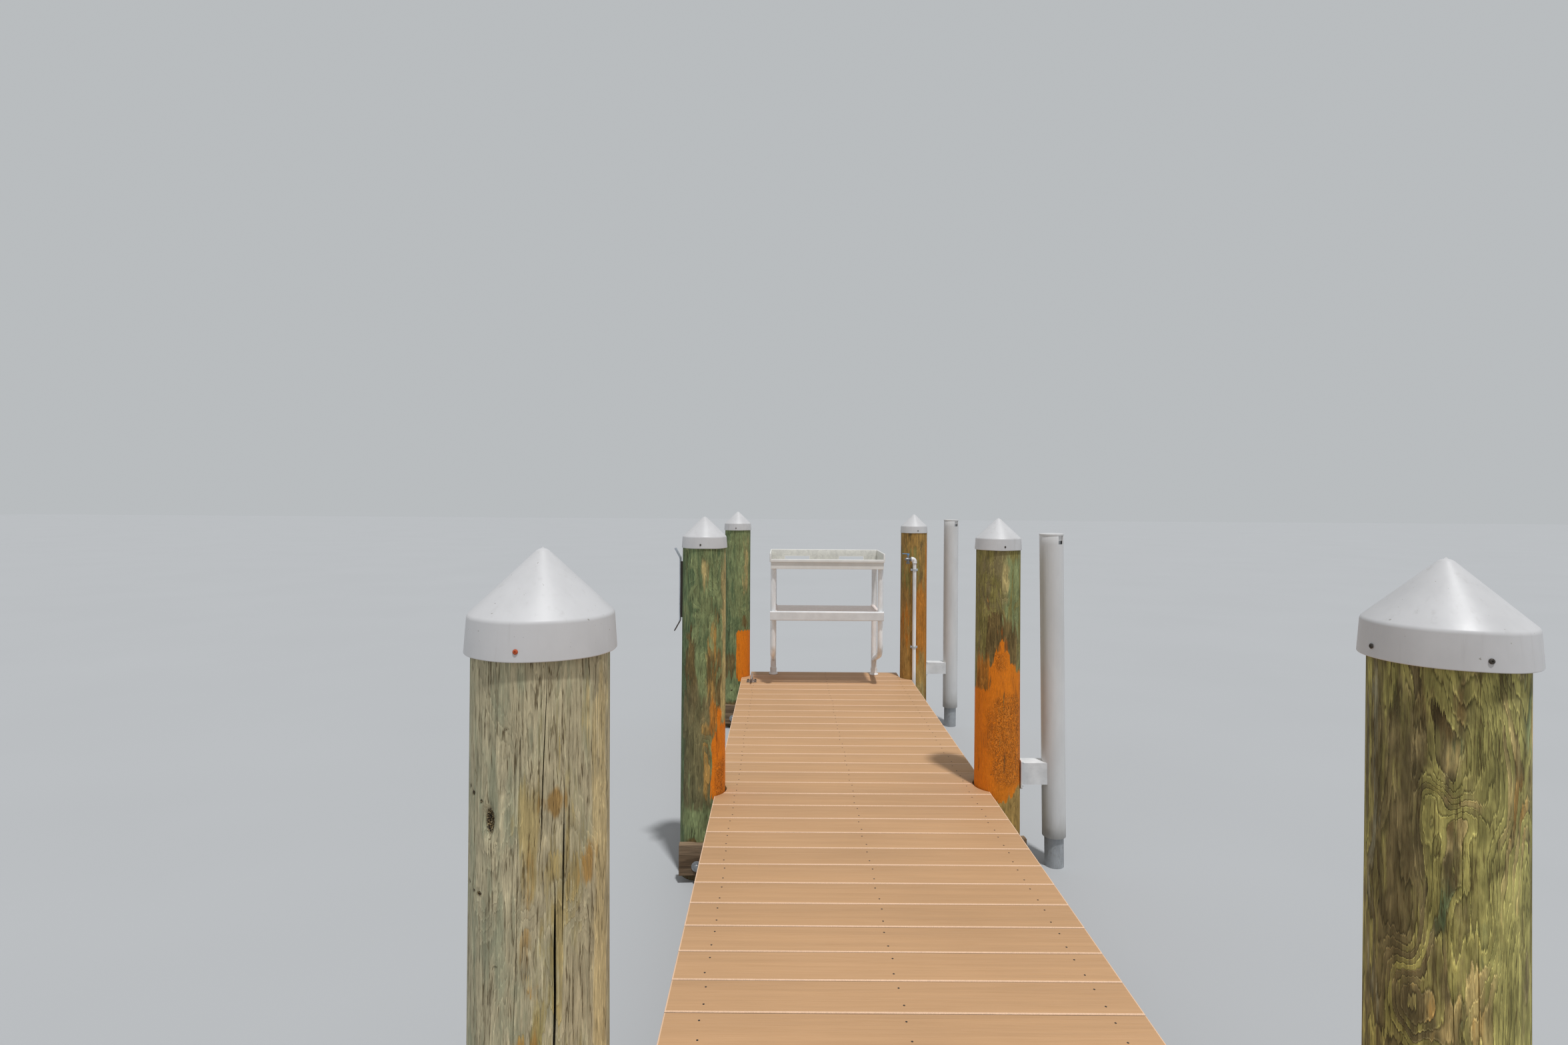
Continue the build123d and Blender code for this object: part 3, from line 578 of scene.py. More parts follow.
WEATHER = {
    "near_left": Weather(
        seed=1.3, light="bleached", dark="sage", figure=0.30, moss=-0.42, umber=-0.40,
        screws=(-2, 118, -122), rusty=(0, 1, 2), grain=0.8, checks=1.0,
        splits=(
            (21.5, 15.0, 0.76, 1.12, 0.0016, 0.010), (34.5, 34.0, 0.645, 0.95, 0.0044, 0.022, 0.30),
            (27.5, 29.0, -0.36, 0.75, 0.0056, 0.026, 0.80), (1.5, -5.0, 0.30, 1.00, 0.0009, 0.006),
            (118.0, 112.0, -0.30, 0.85, 0.0028, 0.016), (-130.0, -124.0, 0.10, 1.10, 0.0020, 0.012),
        ),
        patches={
            "moss": (
                (-24, 14, 0.80, 1.12, 0.36, 0.20), (24, 8, 0.46, 0.84, 0.80, 0.12),
                (2, 10, 0.40, 0.70, 0.40, 0.20), (-30, 40, -0.40, 0.30, 0.55, 0.30),
                (160, 60, -0.40, 0.90, 0.70, 0.30),
            ),
            "straw": (
                (34, 26, -0.40, 1.12, 0.46, 0.20), (14, 18, 0.68, 0.96, 0.72, 0.16),
                (12, 10, 0.30, 0.95, 0.52, 0.20),
            ),
            "drab": ((22, 5, 0.745, 0.850, 1.20, 0.04),),
            # The sand stretch on the right side is painted sunlight.
            "sand": ((74, 16, -0.40, 1.12, 0.80, 0.20),),
            "olive": ((16, 16, -0.40, 0.58, 0.62, 0.16), (38, 12, 0.10, 0.60, 0.50, 0.16)),
            "ochre": (
                (25, 9, 0.850, 0.905, 1.40, 0.04), (59, 7, 0.715, 0.800, 1.00, 0.05),
                (7, 6, 0.58, 0.835, 0.78, 0.10), (10, 5, 0.55, 0.60, 0.80, 0.04),
                (14, 4, 0.575, 0.60, 0.85, 0.03), (6, 12, 0.30, 0.51, 0.80, 0.06),
                (34, 20, -0.30, 0.40, 0.60, 0.20),
            ),
            "umber": (
                (41, 6, 0.715, 0.810, 0.95, 0.05), (24, 16, 0.95, 1.12, 0.42, 0.10),
                (42, 6, 0.40, 0.72, 0.45, 0.12), (-60, 18, 0.20, 0.70, 0.35, 0.30),
            ),
        },
        knots=(
            (-26, 0.848, 0.0135, 0.030, 0.0070, 0.85), (-56, 0.891, 0.006, 0.0040, 0.0024, 0.9),
            (-48, 0.883, 0.007, 0.0034, 0.0024, 0.9), (-35, 0.875, 0.008, 0.0028, 0.0024, 0.8),
            (-30, 0.872, 0.006, 0.0024, 0.0020, 0.8), (-19, 0.809, 0.007, 0.0040, 0.0030, 0.5),
            (-57, 0.734, 0.008, 0.0050, 0.0030, 0.9), (-46, 0.727, 0.009, 0.0042, 0.0030, 0.9),
            (-38, 0.725, 0.008, 0.0036, 0.0030, 0.9), (-36, 0.664, 0.008, 0.0040, 0.0026, 0.8),
            (-22, 0.650, 0.010, 0.0030, 0.0022, 0.6), (-32, 1.010, 0.007, 0.0030, 0.0022, 0.7),
            (-19, 0.618, 0.009, 0.0030, 0.0022, 0.6), (-10, 0.998, 0.006, 0.0022, 0.0016, 0.5),
            (13, 0.892, 0.0135, 0.0013, 0.0018, 0.7), (75, 0.40, 0.012, 0.020, 0.0050, 0.8),
            (150, 0.70, 0.014, 0.022, 0.0050, 0.9),
        ),
        swirls=(
            (-27, 0.848, 0.020, 0.045, 2.2), (-52, 0.815, 0.022, 0.040, -2.0),
            (20, 0.60, 0.030, 0.10, 2.0), (44, 0.78, 0.016, 0.09, 2.0),
        ),
    ),
    "near_right": Weather(
        seed=4.1, light="lime", dark="drab", figure=1.0, moss=-0.20, umber=-0.26,
        screws=(-92, -13, 88, 178), grain=0.7, checks=0.9,
        splits=(
            (-34.0, -33.0, 0.52, 0.66, 0.0011, 0.006), (-28.0, -27.5, 0.72, 0.86, 0.0010, 0.006),
            (-17.0, -16.0, 0.48, 0.74, 0.0012, 0.006), (60.0, 66.0, -0.2, 0.95, 0.0030, 0.016),
        ),
        patches={
            # The drab stretch round azimuth -84 is painted shade on the pile's unlit left side.
            "drab": ((-84, 36, -0.40, 1.12, 0.66, 0.20),),
            "sage": ((-100, 14, -0.40, 1.12, 0.42, 0.20),),
            # The umber stretches that reach up under the cap are the cap's painted shadow.
            "umber": (
                (-64, 14, 0.60, 1.12, 0.42, 0.20), (-44, 26, 1.00, 1.12, 0.62, 0.08),
                (-52, 12, 0.93, 1.06, 0.55, 0.08), (-36, 12, 0.855, 0.905, 0.62, 0.03),
                (-60, 12, 0.66, 0.86, 0.40, 0.10), (-52, 34, 0.60, 0.69, 0.45, 0.05),
            ),
            "moss": (
                (-27, 8, 0.955, 1.03, 0.62, 0.05), (-40, 10, 0.68, 0.80, 0.66, 0.08),
                (-13, 10, 0.64, 0.76, 0.95, 0.05), (-26, 7, 0.54, 0.65, 0.90, 0.05),
                (-74, 14, 0.74, 0.86, 0.40, 0.10), (120, 70, -0.40, 1.00, 0.60, 0.30),
            ),
            "straw": (
                (-34, 12, 0.905, 0.925, 0.75, 0.02), (-24, 6, 0.84, 0.93, 0.85, 0.03),
                (-28, 5, 0.94, 1.00, 0.60, 0.04), (-31, 5, 0.64, 0.69, 0.95, 0.03),
                (-18, 6, 0.54, 0.68, 0.85, 0.04), (-36, 5, 0.54, 0.60, 0.80, 0.04),
                (10, 16, 0.80, 1.06, 0.50, 0.12),
            ),
            # The lime stretch round azimuth 0 is painted sunlight.
            "lime": ((0, 26, -0.40, 1.08, 0.66, 0.12),),
            "ochre": ((18, 6, 0.86, 0.98, 0.45, 0.10),),
            "mint": ((30, 10, 0.98, 1.12, 0.60, 0.10),),
        },
        knots=((-47.5, 0.920, 0.011, 0.010, 0.0020, 0.12), (70, 0.60, 0.014, 0.020, 0.0050, 0.9)),
        swirls=(
            (-46, 0.915, 0.018, 0.018, 2.2), (-36, 0.880, 0.034, 0.030, 3.0),
            (-36, 0.985, 0.030, 0.060, -2.0), (-30, 0.805, 0.020, 0.045, 1.8),
            (-60, 0.745, 0.020, 0.075, -2.2), (-64, 0.585, 0.026, 0.062, 5.2),
            (-13, 0.700, 0.024, 0.070, -1.8), (-20, 0.560, 0.020, 0.060, 2.0),
            (24, 0.60, 0.060, 1.20, 9.0),
        ),
    ),
    "mid_left": Weather(
        seed=7.7, light="mint", dark="moss", figure=0.55, moss=0.08, umber=-0.25, screws=(-5, 115, -125),
        splits=((4.0, 12.0, 0.56, 0.73, 0.0022, 0.008), (-20.0, -24.0, -0.20, 0.50, 0.0014, 0.008)),
        patches={
            "moss": (
                (-60, 34, -0.10, 1.12, 0.60, 0.20), (-30, 14, 0.84, 0.96, 0.55, 0.10),
                (-66, 26, -0.10, 0.80, 0.95, 0.20),
            ),
            "straw": (
                (9, 9, 0.92, 1.12, 0.72, 0.10), (74, 18, 0.30, 1.12, 0.90, 0.20),
                (14, 6, 0.18, 0.40, 0.60, 0.10),
            ),
            "mint": (
                (4, 10, 0.66, 0.95, 0.50, 0.16), (2, 9, 0.40, 0.68, 0.95, 0.14),
                (-4, 24, 0.812, 0.838, 0.75, 0.02), (0, 60, -0.15, -0.06, 0.85, 0.05),
            ),
            "ochre": ((32, 16, 0.38, 0.84, 0.62, 0.20), (12, 12, -0.04, 0.36, 0.66, 0.12)),
            "umber": (
                (36, 24, 0.26, 0.96, 0.55, 0.24), (-36, 16, 0.56, 0.80, 0.48, 0.16),
                (-34, 24, 0.36, 0.80, 0.72, 0.16), (6, 14, -0.04, 0.46, 0.50, 0.18),
                (40, 30, 0.34, 0.72, 0.95, 0.18), (10, 60, -0.40, -0.18, 0.95, 0.08),
            ),
            "drab": ((-16, 44, -0.10, 0.52, 0.90, 0.20),),
            "ember": ((34, 16, 0.24, 0.46, 0.70, 0.14),),
            "peel": (
                (38, 12, -0.04, 0.28, 1.00, 0.08), (64, 30, -0.04, 0.32, 1.00, 0.08),
                (50, 8, 0.20, 0.42, 0.90, 0.08),
            ),
            "worm": ((56, 20, -0.02, 0.16, 0.80, 0.06),),
            "split": ((44, 30, 0.24, 0.52, 0.26, 0.12),),
        },
        knots=(
            (-12, 0.84, 0.010, 0.012, 0.0020, 0.4), (7, 0.853, 0.010, 0.0030, 0.0020, 0.9),
            (9, 0.727, 0.013, 0.0035, 0.0022, 0.9), (12, 0.71, 0.008, 0.006, 0.0016, 0.5),
            (8, 1.02, 0.014, 0.005, 0.0016, 0.1),
        ),
        swirls=(
            (-12, 0.84, 0.020, 0.030, 2.0), (8, 0.60, 0.030, 0.100, -2.0), (-24, 1.00, 0.030, 0.040, 3.0),
        ),
    ),
    "mid_right": Weather(
        seed=9.2, light="olive", dark="drab", figure=0.50, moss=-0.15, umber=-0.05, screws=(2, 122, -118),
        splits=((-44.0, -45.0, 0.50, 0.72, 0.0020, 0.008), (-6.0, -8.0, 0.74, 1.00, 0.0010, 0.006)),
        patches={
            # The first mint stretch, high on the right under the cap, is painted sunlight.
            "mint": ((30, 32, 0.74, 1.12, 0.80, 0.16), (26, 46, -0.40, 0.04, 0.66, 0.10)),
            "straw": ((6, 12, 0.84, 1.12, 0.60, 0.14),),
            "moss": ((60, 14, 0.50, 1.05, 0.60, 0.16),),
            "umber": (
                (4, 40, 0.56, 0.84, 0.95, 0.10), (-34, 14, 0.44, 0.78, 0.75, 0.12),
                (0, 90, -0.40, -0.22, 0.80, 0.10),
            ),
            "rust": ((-2, 16, 0.62, 0.76, 0.72, 0.08),),
            "split": ((0, 24, 0.60, 0.82, 0.28, 0.10), (-36, 12, 0.46, 0.74, 0.22, 0.12)),
            "ember": ((-58, 30, 0.40, 0.64, 0.72, 0.14), (-14, 16, 0.50, 0.72, 0.60, 0.08)),
            "peel": (
                (-4, 8, -0.05, 0.715, 1.00, 0.04), (9, 9, -0.05, 0.66, 1.00, 0.05),
                (-17, 9, -0.05, 0.66, 1.00, 0.06), (24, 14, -0.02, 0.60, 1.00, 0.06),
                (50, 26, 0.02, 0.56, 1.00, 0.10), (-28, 8, -0.05, 0.60, 1.00, 0.05),
                (-62, 44, -0.08, 0.47, 1.00, 0.08),
            ),
            "worm": (
                (20, 44, 0.04, 0.45, 1.00, 0.10), (-30, 16, 0.16, 0.40, 0.60, 0.10),
                (-8, 16, 0.55, 0.66, 0.60, 0.05),
            ),
            "ochre": ((20, 60, -0.30, 0.06, 0.80, 0.10),),
        },
        knots=((-31, 0.957, 0.019, 0.023, 0.0022, 0.0), (-31, 0.075, 0.007, 0.006, 0.0040, 1.0)),
        swirls=((-31, 0.957, 0.022, 0.026, 3.4),),
    ),
    "far_left": Weather(
        seed=12.4, light="mint", dark="moss", figure=0.45, moss=-0.14, umber=-0.30, screws=(-5, 115, -125),
        patches={
            "moss": ((-56, 30, 0.05, 1.10, 0.60, 0.20),),
            "mint": ((24, 26, 0.66, 1.12, 0.60, 0.16), (0, 70, -0.17, -0.05, 0.90, 0.05)),
            "straw": ((46, 22, 0.62, 1.12, 0.62, 0.14),),
            "umber": (
                (40, 26, 0.34, 0.48, 0.80, 0.12), (-30, 34, -0.05, 0.18, 0.80, 0.10),
                (0, 80, -0.40, -0.18, 0.90, 0.06),
            ),
            "split": ((40, 26, 0.34, 0.50, 0.30, 0.10),),
            "peel": ((42, 44, -0.03, 0.35, 1.00, 0.05),),
        },
        knots=((20, 0.95, 0.012, 0.016, 0.0018, 0.3), (-20, -0.10, 0.010, 0.004, 0.0030, 0.9)),
        swirls=((20, 0.58, 0.020, 0.05, 2.0), (-40, 0.70, 0.02, 0.10, 3.0)),
    ),
    "far_right": Weather(
        seed=15.8, light="ochre", dark="umber", figure=0.30, moss=-0.26, umber=-0.22,
        screws=(8, 128, -112),
        splits=((30.0, 31.0, 0.10, 0.55, 0.0016, 0.008),),
        patches={
            "umber": ((0, 60, 0.62, 1.12, 0.42, 0.24),),
            "olive": ((-30, 50, 0.60, 1.06, 0.55, 0.20),),
            "ember": (
                (60, 14, 0.04, 1.08, 1.05, 0.30), (26, 30, 0.16, 0.70, 0.95, 0.24),
                (-50, 34, 0.20, 0.62, 0.62, 0.24),
            ),
            "ochre": ((0, 90, -0.06, 0.30, 0.85, 0.16),),
            "straw": (
                (-36, 7, 0.44, 0.72, 0.62, 0.12), (-42, 14, 0.04, 0.22, 0.60, 0.10),
                (20, 30, -0.30, 0.06, 0.70, 0.10),
            ),
        },
    ),
    "shore_left": Weather(
        seed=18.6, light="bleached", dark="olive", figure=0.45, moss=-0.15, umber=-0.20,
        screws=(4, 124, -116),
        splits=((150.0, 144.0, -0.20, 1.00, 0.0030, 0.016), (40.0, 42.0, 0.2, 0.9, 0.0016, 0.01)),
        patches={
            "moss": ((-30, 60, -0.40, 0.60, 0.60, 0.30),),
            "peel": ((88, 34, -0.06, 0.34, 0.90, 0.16),),
            "umber": ((84, 44, 0.20, 0.60, 0.70, 0.16),),
        },
        knots=((170, 0.75, 0.012, 0.022, 0.0050, 0.9), (30, 0.45, 0.010, 0.014, 0.0030, 0.7)),
        swirls=((170, 0.75, 0.03, 0.05, 2.4), (30, 0.45, 0.025, 0.04, 2.0)),
    ),
    "shore_right": Weather(
        seed=21.9, light="olive", dark="umber", figure=0.70, moss=-0.15, umber=-0.15,
        screws=(-6, 114, -126), rusty=(1,),
        splits=((-160.0, -152.0, -0.20, 0.95, 0.0026, 0.014),),
        patches={
            "umber": ((-60, 50, -0.20, 0.90, 0.55, 0.20),),
            "peel": ((-80, 36, -0.06, 0.40, 0.90, 0.16),),
            "moss": ((60, 60, -0.40, 0.70, 0.60, 0.30),),
        },
        knots=((160, 0.52, 0.012, 0.020, 0.0050, 0.9),),
        swirls=((160, 0.52, 0.03, 0.05, 2.4), (-140, 0.8, 0.03, 0.08, -2.0)),
    ),
}

class Pile:
    """Place and size of one pile, read from the frame."""

    def __init__(self, row, side, taper):
        self.name = f"{row}_{side}"
        self.row, self.side = row, side
        low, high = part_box(f"{self.name}_cap")
        foot_low, foot_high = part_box(f"{self.name}_pile")
        self.middle = Vector(((low + high) / 2).xy.to_3d())
        self.rim = low.z
        self.rim_radius = (high.x - low.x) / 2
        self.foot_radius = (foot_high.x - foot_low.x) / 2
        self.top = foot_high.z
        self.taper = taper

    def radius(self, level):
        """Radius at a height above the water."""
        return self.foot_radius - self.taper * level

    def point(self, azimuth, level):
        """A point on the pile's skin."""
        return self.middle + outward(azimuth) * self.radius(level) + Vector((0, 0, level))


def outward(azimuth):
    """Direction at an azimuth, in degrees from the shore side."""
    turn = radians(azimuth)
    return Vector((sin(turn), -cos(turn), 0))


def deck_top():
    """Level of the deck's walking face."""
    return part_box("middle_bay_deck")[1].z


def jetty_piles():
    """All piles, by name."""
    taper = bpy.context.scene.jetty_timber.taper
    return {f"{row}_{side}": Pile(row, side, taper) for row in ROWS for side in SIDES}


def row_axis(piles, row):
    """Middle of a row, the direction across it, and the side that its beams
    are bolted to, out from the line between its two piles."""
    left, right = piles[f"{row}_left"], piles[f"{row}_right"]
    across = (right.middle - left.middle).normalized()
    ahead = Vector((-across.y, across.x, 0))
    seat = min(pile.radius(pile.rim) for pile in (left, right)) - DAP_DEPTH
    sides = {"shore": (1,), "far": (-1,)}.get(row, (-1, 1))
    return left.middle, across, ahead, seat, sides


def between(value, low, high, feather):
    """1 inside a range and 0 outside it, with soft ends."""
    inside = min((value - low) / feather, (high - value) / feather) + 0.5
    return max(0.0, min(1.0, inside))


def turn_gap(first, second):
    """Degrees from one azimuth to another, the short way round."""
    return (first - second + 180) % 360 - 180


def levels_between(low, high, step, marks):
    """Rising levels with a close pair at each mark, so that a cut there is crisp."""
    count = ceil((high - low) / step)
    levels = [low + (high - low) * index / count for index in range(count + 1)]
    levels = [z for z in levels if all(abs(z - mark) > step * 0.45 for mark in marks) or z in (low, high)]
    for mark in marks:
        levels += [mark - 0.0004, mark + 0.0004]
    return sorted(levels)


def pile_shape(pile, piles, look, settings, fine):
    """The timber of one pile: tapered, dapped for its beams, split, knotted
    and peeled. Its points carry how far each place is split or peeled."""
    deck = deck_top()
    beam_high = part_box("left_stringer")[0].z
    beam_low = beam_high - BEAM_HEIGHT
    marks = [beam_low, beam_high, pile.rim + 0.012]
    flat = None
    if pile.side == "right" and pile.row in ("mid", "far"):
        flat_low, flat_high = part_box(f"{pile.row}_guide_pole_bracket")
        flat = flat_low
        marks += [flat_low.z, flat_high.z]
    start, _, ahead, seat, sides = row_axis(piles, pile.row)
    levels = levels_between(0.0, pile.top, settings.ring_size * fine, marks)
    columns = int(tau * pile.foot_radius / (settings.column_size * fine))

    splits = sorted(Split(*row) for row in look.splits)
    knots = [Knot(*row) for row in look.knots]
    swirls = [Swirl(*row) for row in look.swirls]
    anchors = []
    for split in splits:
        column = round((split.top_azimuth + 180) / 360 * columns)
        if anchors and column - anchors[-1] < 3:
            column = anchors[-1] + 3
        anchors.append(column)

    shape = bmesh.new()
    layers = {name: shape.verts.layers.float.new(name) for name in TINTS + ("split", "knot", "figure")}
    bmesh.ops.create_grid(shape, x_segments=columns, y_segments=len(levels) - 1, size=1)
    patches = [(layers[kind], Patch(*row)) for kind, rows in look.patches.items() for row in rows]
    head_radius = min(pile.radius(pile.rim), pile.rim_radius * CAP_SHOULDER - 0.004)

    def azimuths(level):
        """Azimuth of every column at a level, and the open splits there."""
        known = [(0, -180.0)]
        open_splits = {}
        for split, column in zip(splits, anchors):
            above = level - deck
            share = max(0.0, min(1.0, (above - split.low) / (split.high - split.low)))
            here = split.foot_azimuth + (split.top_azimuth - split.foot_azimuth) * share
            here += 1.1 * noise(Vector((look.seed, column, level * 7)))
            ends = min(share, 1 - share) * (split.high - split.low)
            taper = 1 - 0.8 * min(1.0, abs(share - split.peak) / 0.6)
            opened = max(0.0, min(1.0, ends / 0.10)) ** 0.7 * taper
            wide = 0.75 + 0.5 * noise(Vector((column, look.seed, level * 9)))
            half = degrees((0.0003 + split.width * opened * wide / 2) / pile.foot_radius)
            known += [(column - 1, here - half), (column, here), (column + 1, here + half)]
            open_splits[column] = split.depth * opened
        known.append((columns, 180.0))
        found = []
        for (first, low), (last, high) in zip(known, known[1:]):
            found += [low + (high - low) * index / (last - first) for index in range(last - first)]
        return found + [180.0], open_splits

    rows = [azimuths(level) for level in levels]
    for vert in shape.verts:
        column = round((vert.co.x + 1) / 2 * columns)
        index = round((vert.co.y + 1) / 2 * (len(levels) - 1))
        level = levels[index]
        above = level - deck
        azimuth = rows[index][0][column]
        facing = outward(azimuth)
        radius = pile.radius(level)
        place = facing * radius + Vector((0, 0, level))
        seeded = Vector((look.seed, look.seed * 2, 0))
        if level < pile.rim + 0.012:
            slow = Vector((place.x * 5, place.y * 5, level * 0.9)) + seeded
            radius += 0.0022 * noise(slow)
            fast = Vector((place.x * 75, place.y * 75, level * 2.2)) + seeded
            radius += 0.00045 * noise(fast)
        else:
            radius = head_radius
        for layer, patch in patches:
            side = between(abs(turn_gap(azimuth, patch.azimuth)), -99, patch.reach, 22)
            rise = between(above, patch.low, patch.high, patch.feather)
            vert[layer] = max(vert[layer], patch.strength * side * rise)
        for swirl in swirls:
            sideways = radians(turn_gap(azimuth, swirl.azimuth)) * radius / swirl.width
            upright = (above - swirl.level) / swirl.height
            vert[layers["figure"]] += swirl.rings * exp(-(sideways ** 2 + upright ** 2))
        peel = vert[layers["peel"]]
        if peel > 0.4 and level < pile.rim:
            rough = Vector((place.x * 60, place.y * 60, level * 42)) + seeded
            ridge = 1 - abs(noise(rough)) * 3
            radius -= (peel - 0.4) * (0.0022 - 0.0016 * max(0.0, ridge))
        for knot in knots:
            sideways = radians(turn_gap(azimuth, knot.azimuth)) * radius / knot.width
            upright = (above - knot.level) / knot.height
            near = hypot(sideways, upright)
            if near < 2.5:
                hollow = max(0.0, 1 - near)
                swell = max(0.0, 1 - abs(near - 1.3) / 0.9)
                radius += knot.depth * (0.22 * swell - hollow ** 0.6)
                vert[layers["knot"]] = max(vert[layers["knot"]], knot.dark * min(1.0, hollow * 1.6))
        # The split value paints shade: near black where the split is carved in, and a softer dark on the
        # columns beside a deep split.
        before, depth, after = (rows[index][1].get(column + step, 0.0) for step in (-1, 0, 1))
        if depth > 0.0005 and level < pile.rim:
            radius -= depth
            vert[layers["split"]] = 1.0
        if max(before, after) > 0.012:
            vert[layers["split"]] = 0.40
        spot = pile.middle + facing * radius + Vector((0, 0, level))
        if beam_low < level < beam_high:
            reach = (spot - start).dot(ahead)
            for side in sides:
                spot -= ahead * side * max(0.0, reach * side - seat + 0.0002)
        if flat is not None and flat.z < level < flat_high.z:
            spot.x = min(spot.x, flat.x - 0.0002)
        vert.co = spot
    bmesh.ops.remove_doubles(shape, verts=shape.verts, dist=WELD)
    bmesh.ops.holes_fill(shape, edges=[edge for edge in shape.edges if edge.is_boundary], sides=0)
    bmesh.ops.recalc_face_normals(shape, faces=shape.faces)
    return shape


def pile_finish(pile, look, timber):
    """Weathered treated timber, as one pile shows it. Its growth rings are the
    steps of a slow noise, jagged where they cross the fibres."""
    wood = Finish(f"{pile.name}_timber", pile.middle)
    seed, figure, rough, checks = look.seed, look.figure, look.grain, look.checks
    hair = wood.noise((620, 620, 34), 3, 0.65, seed=seed + 5)
    fibre = wood.noise((230, 230, 13), 4, 0.62, seed=seed)
    streak = wood.noise((70, 70, 4.5), 3, 0.6, seed=seed + 1)
    mottle = wood.noise((26, 26, 7), 4, 0.6, 0.2, seed + 2)
    blotch = wood.noise((52, 52, 15), 3, 0.5, 0.5, seed + 7)
    broad = wood.noise((7, 7, 2.2), 2, 0.5, seed=seed + 3)
    slow = wood.noise((10.5, 10.5, 2.6), 2.0, 0.4, 0.4, seed + 4)

    rings = slow * 22.0 + wood.attribute("figure") + fibre.around(1.5) + streak.around(1.2)
    across = wood.math("FRACT", rings)
    tone = wood.value("ShaderNodeTexWhiteNoise", {"W": wood.math("FLOOR", rings)}, noise_dimensions="1D")
    part = tone.around(0.9 * figure) + mottle.around(2.4) + streak.around(1.5) + 0.42
    shade = wood.mix(part.step(0.15, 0.85), getattr(timber, look.light), getattr(timber, look.dark))
    for name, share in (("moss", look.moss), ("umber", look.umber)):
        part = wood.attribute(name) + share + mottle.around(1.3) + broad.around(1.2) + streak.around(0.9)
        part += tone.around(0.7 * figure)
        tint = getattr(timber, name)
        tint = wood.mix(fibre.step(0.3, 0.7), scaled(tint, 0.8), scaled(tint, 1.5))
        shade = wood.mix(part.step(0.28, 0.62, 0.0, 0.92), shade, tint)
    for name in (tint for tint in PLAIN_TINTS if tint in look.patches):
        part = wood.attribute(name) + mottle.around(0.9) + streak.around(1.1) + tone.around(0.8 * figure)
        shade = wood.mix(part.step(0.40, 0.72, 0.0, 0.85), shade, getattr(timber, name))

    ridge = across.step(0.0, 0.10) * across.step(0.30, 0.12) * mottle.step(0.34, 0.56, 0.15, 1.0)
    groove = across.step(0.74, 1.0) * mottle.step(0.66, 0.46, 0.2, 1.0)
    shade = wood.grade(shade, ridge * (0.75 * figure) + 1.0)
    shade = wood.grade(shade, 1.0 - groove * (0.55 * figure))
    soft = 0.20 * min(1.0, 0.35 + figure)
    for value, low, high, darker, lighter in (
        (mottle, 0.32, 0.68, soft, soft),
        (blotch, 0.34, 0.66, 0.34 * figure, 0.30 * figure),
        (fibre, 0.30, 0.70, 0.24 * rough, 0.18 * rough),
        (hair, 0.30, 0.70, 0.22 * rough, 0.16 * rough),
    ):
        shade = wood.grade(shade, value.step(low, high, 1 - darker, 1 + lighter))
    check = abs(wood.noise((105, 105, 5.5), 4, 0.55, 0.0, seed + 8) - 0.5)
    check = check.step(0.030, 0.008) * fibre.step(0.58, 0.48) * mottle.step(0.60, 0.46, 0.15, 1.0)
    nick = hair.step(0.37, 0.31) * streak.step(0.58, 0.42)
    chip = hair.step(0.64, 0.70) * blotch.step(0.50, 0.60)
    shadow = scaled(timber.umber, 0.55)
    shade = wood.mix(check * (0.80 * checks), shade, shadow)
    shade = wood.mix(nick * (0.32 * checks), shade, shadow)
    shade = wood.grade(shade, chip * (0.45 * checks) + 1.0)

    worm = wood.noise((84, 84, 50), 2, 0.5, 1.8, seed + 6)
    crawl = (wood.attribute("worm") + mottle.around(1.0) + 0.05).step(0.25, 0.80, 0.15, 1.0)
    # Painted light on the worm lines: a pale painted highlight on one edge of each line and dark painted
    # shade on the other, so that they look raised.
    lit = worm.step(0.500, 0.525) * worm.step(0.620, 0.570)
    cut = worm.step(0.500, 0.470) * worm.step(0.370, 0.420)
    orange = wood.mix(streak.step(0.30, 0.56), timber.rust, timber.orange)
    orange = wood.mix(mottle.step(0.36, 0.50), orange, timber.orange)
    orange = wood.mix(cut * crawl * 0.74, orange, scaled(timber.rust, 0.42))
    orange = wood.mix(lit * crawl * 0.30, orange, timber.peel_highlight)
    orange = wood.grade(orange, hair.step(0.3, 0.7, 0.88, 1.12))
    part = wood.attribute("peel") + mottle.around(0.3) + streak.around(1.0) + fibre.around(0.5)
    peel = part.step(0.44, 0.56)
    shade = wood.mix(peel, shade, orange)

    crumb = wood.noise((420, 420, 420), 2, 0.6, seed=seed + 9)
    inside = wood.mix(crumb.step(0.46, 0.56), timber.dark, timber.umber)
    inside = wood.mix(crumb.step(0.62, 0.66), inside, timber.bleached)
    # Knots take near-black painted shade in their hollows, mixed with brown and pale specks; splits are
    # painted near black as shade of their depth.
    knot = (wood.attribute("knot") + hair.around(0.5)).step(0.20, 0.60)
    split = (wood.attribute("split") + hair.around(0.4)).step(0.35, 0.60)
    damp = (wood.axis("Z") + streak.around(0.14)).step(0.20, 0.04)
    shade = wood.mix(knot, shade, inside)
    shade = wood.mix(split, shade, timber.dark)
    shade = wood.mix(damp * 0.7, shade, timber.framing_dark)

    grain = fibre * 0.8 + hair * 0.4 + ridge * (0.30 * figure) + groove * (-0.30 * figure)
    relief = wood.bump(lit * peel * crawl, 0.0030, wood.bump(grain, 0.0022))
    return wood.done(shade, streak.step(0.3, 0.7, 0.70, 0.9), relief, specular=0.25)


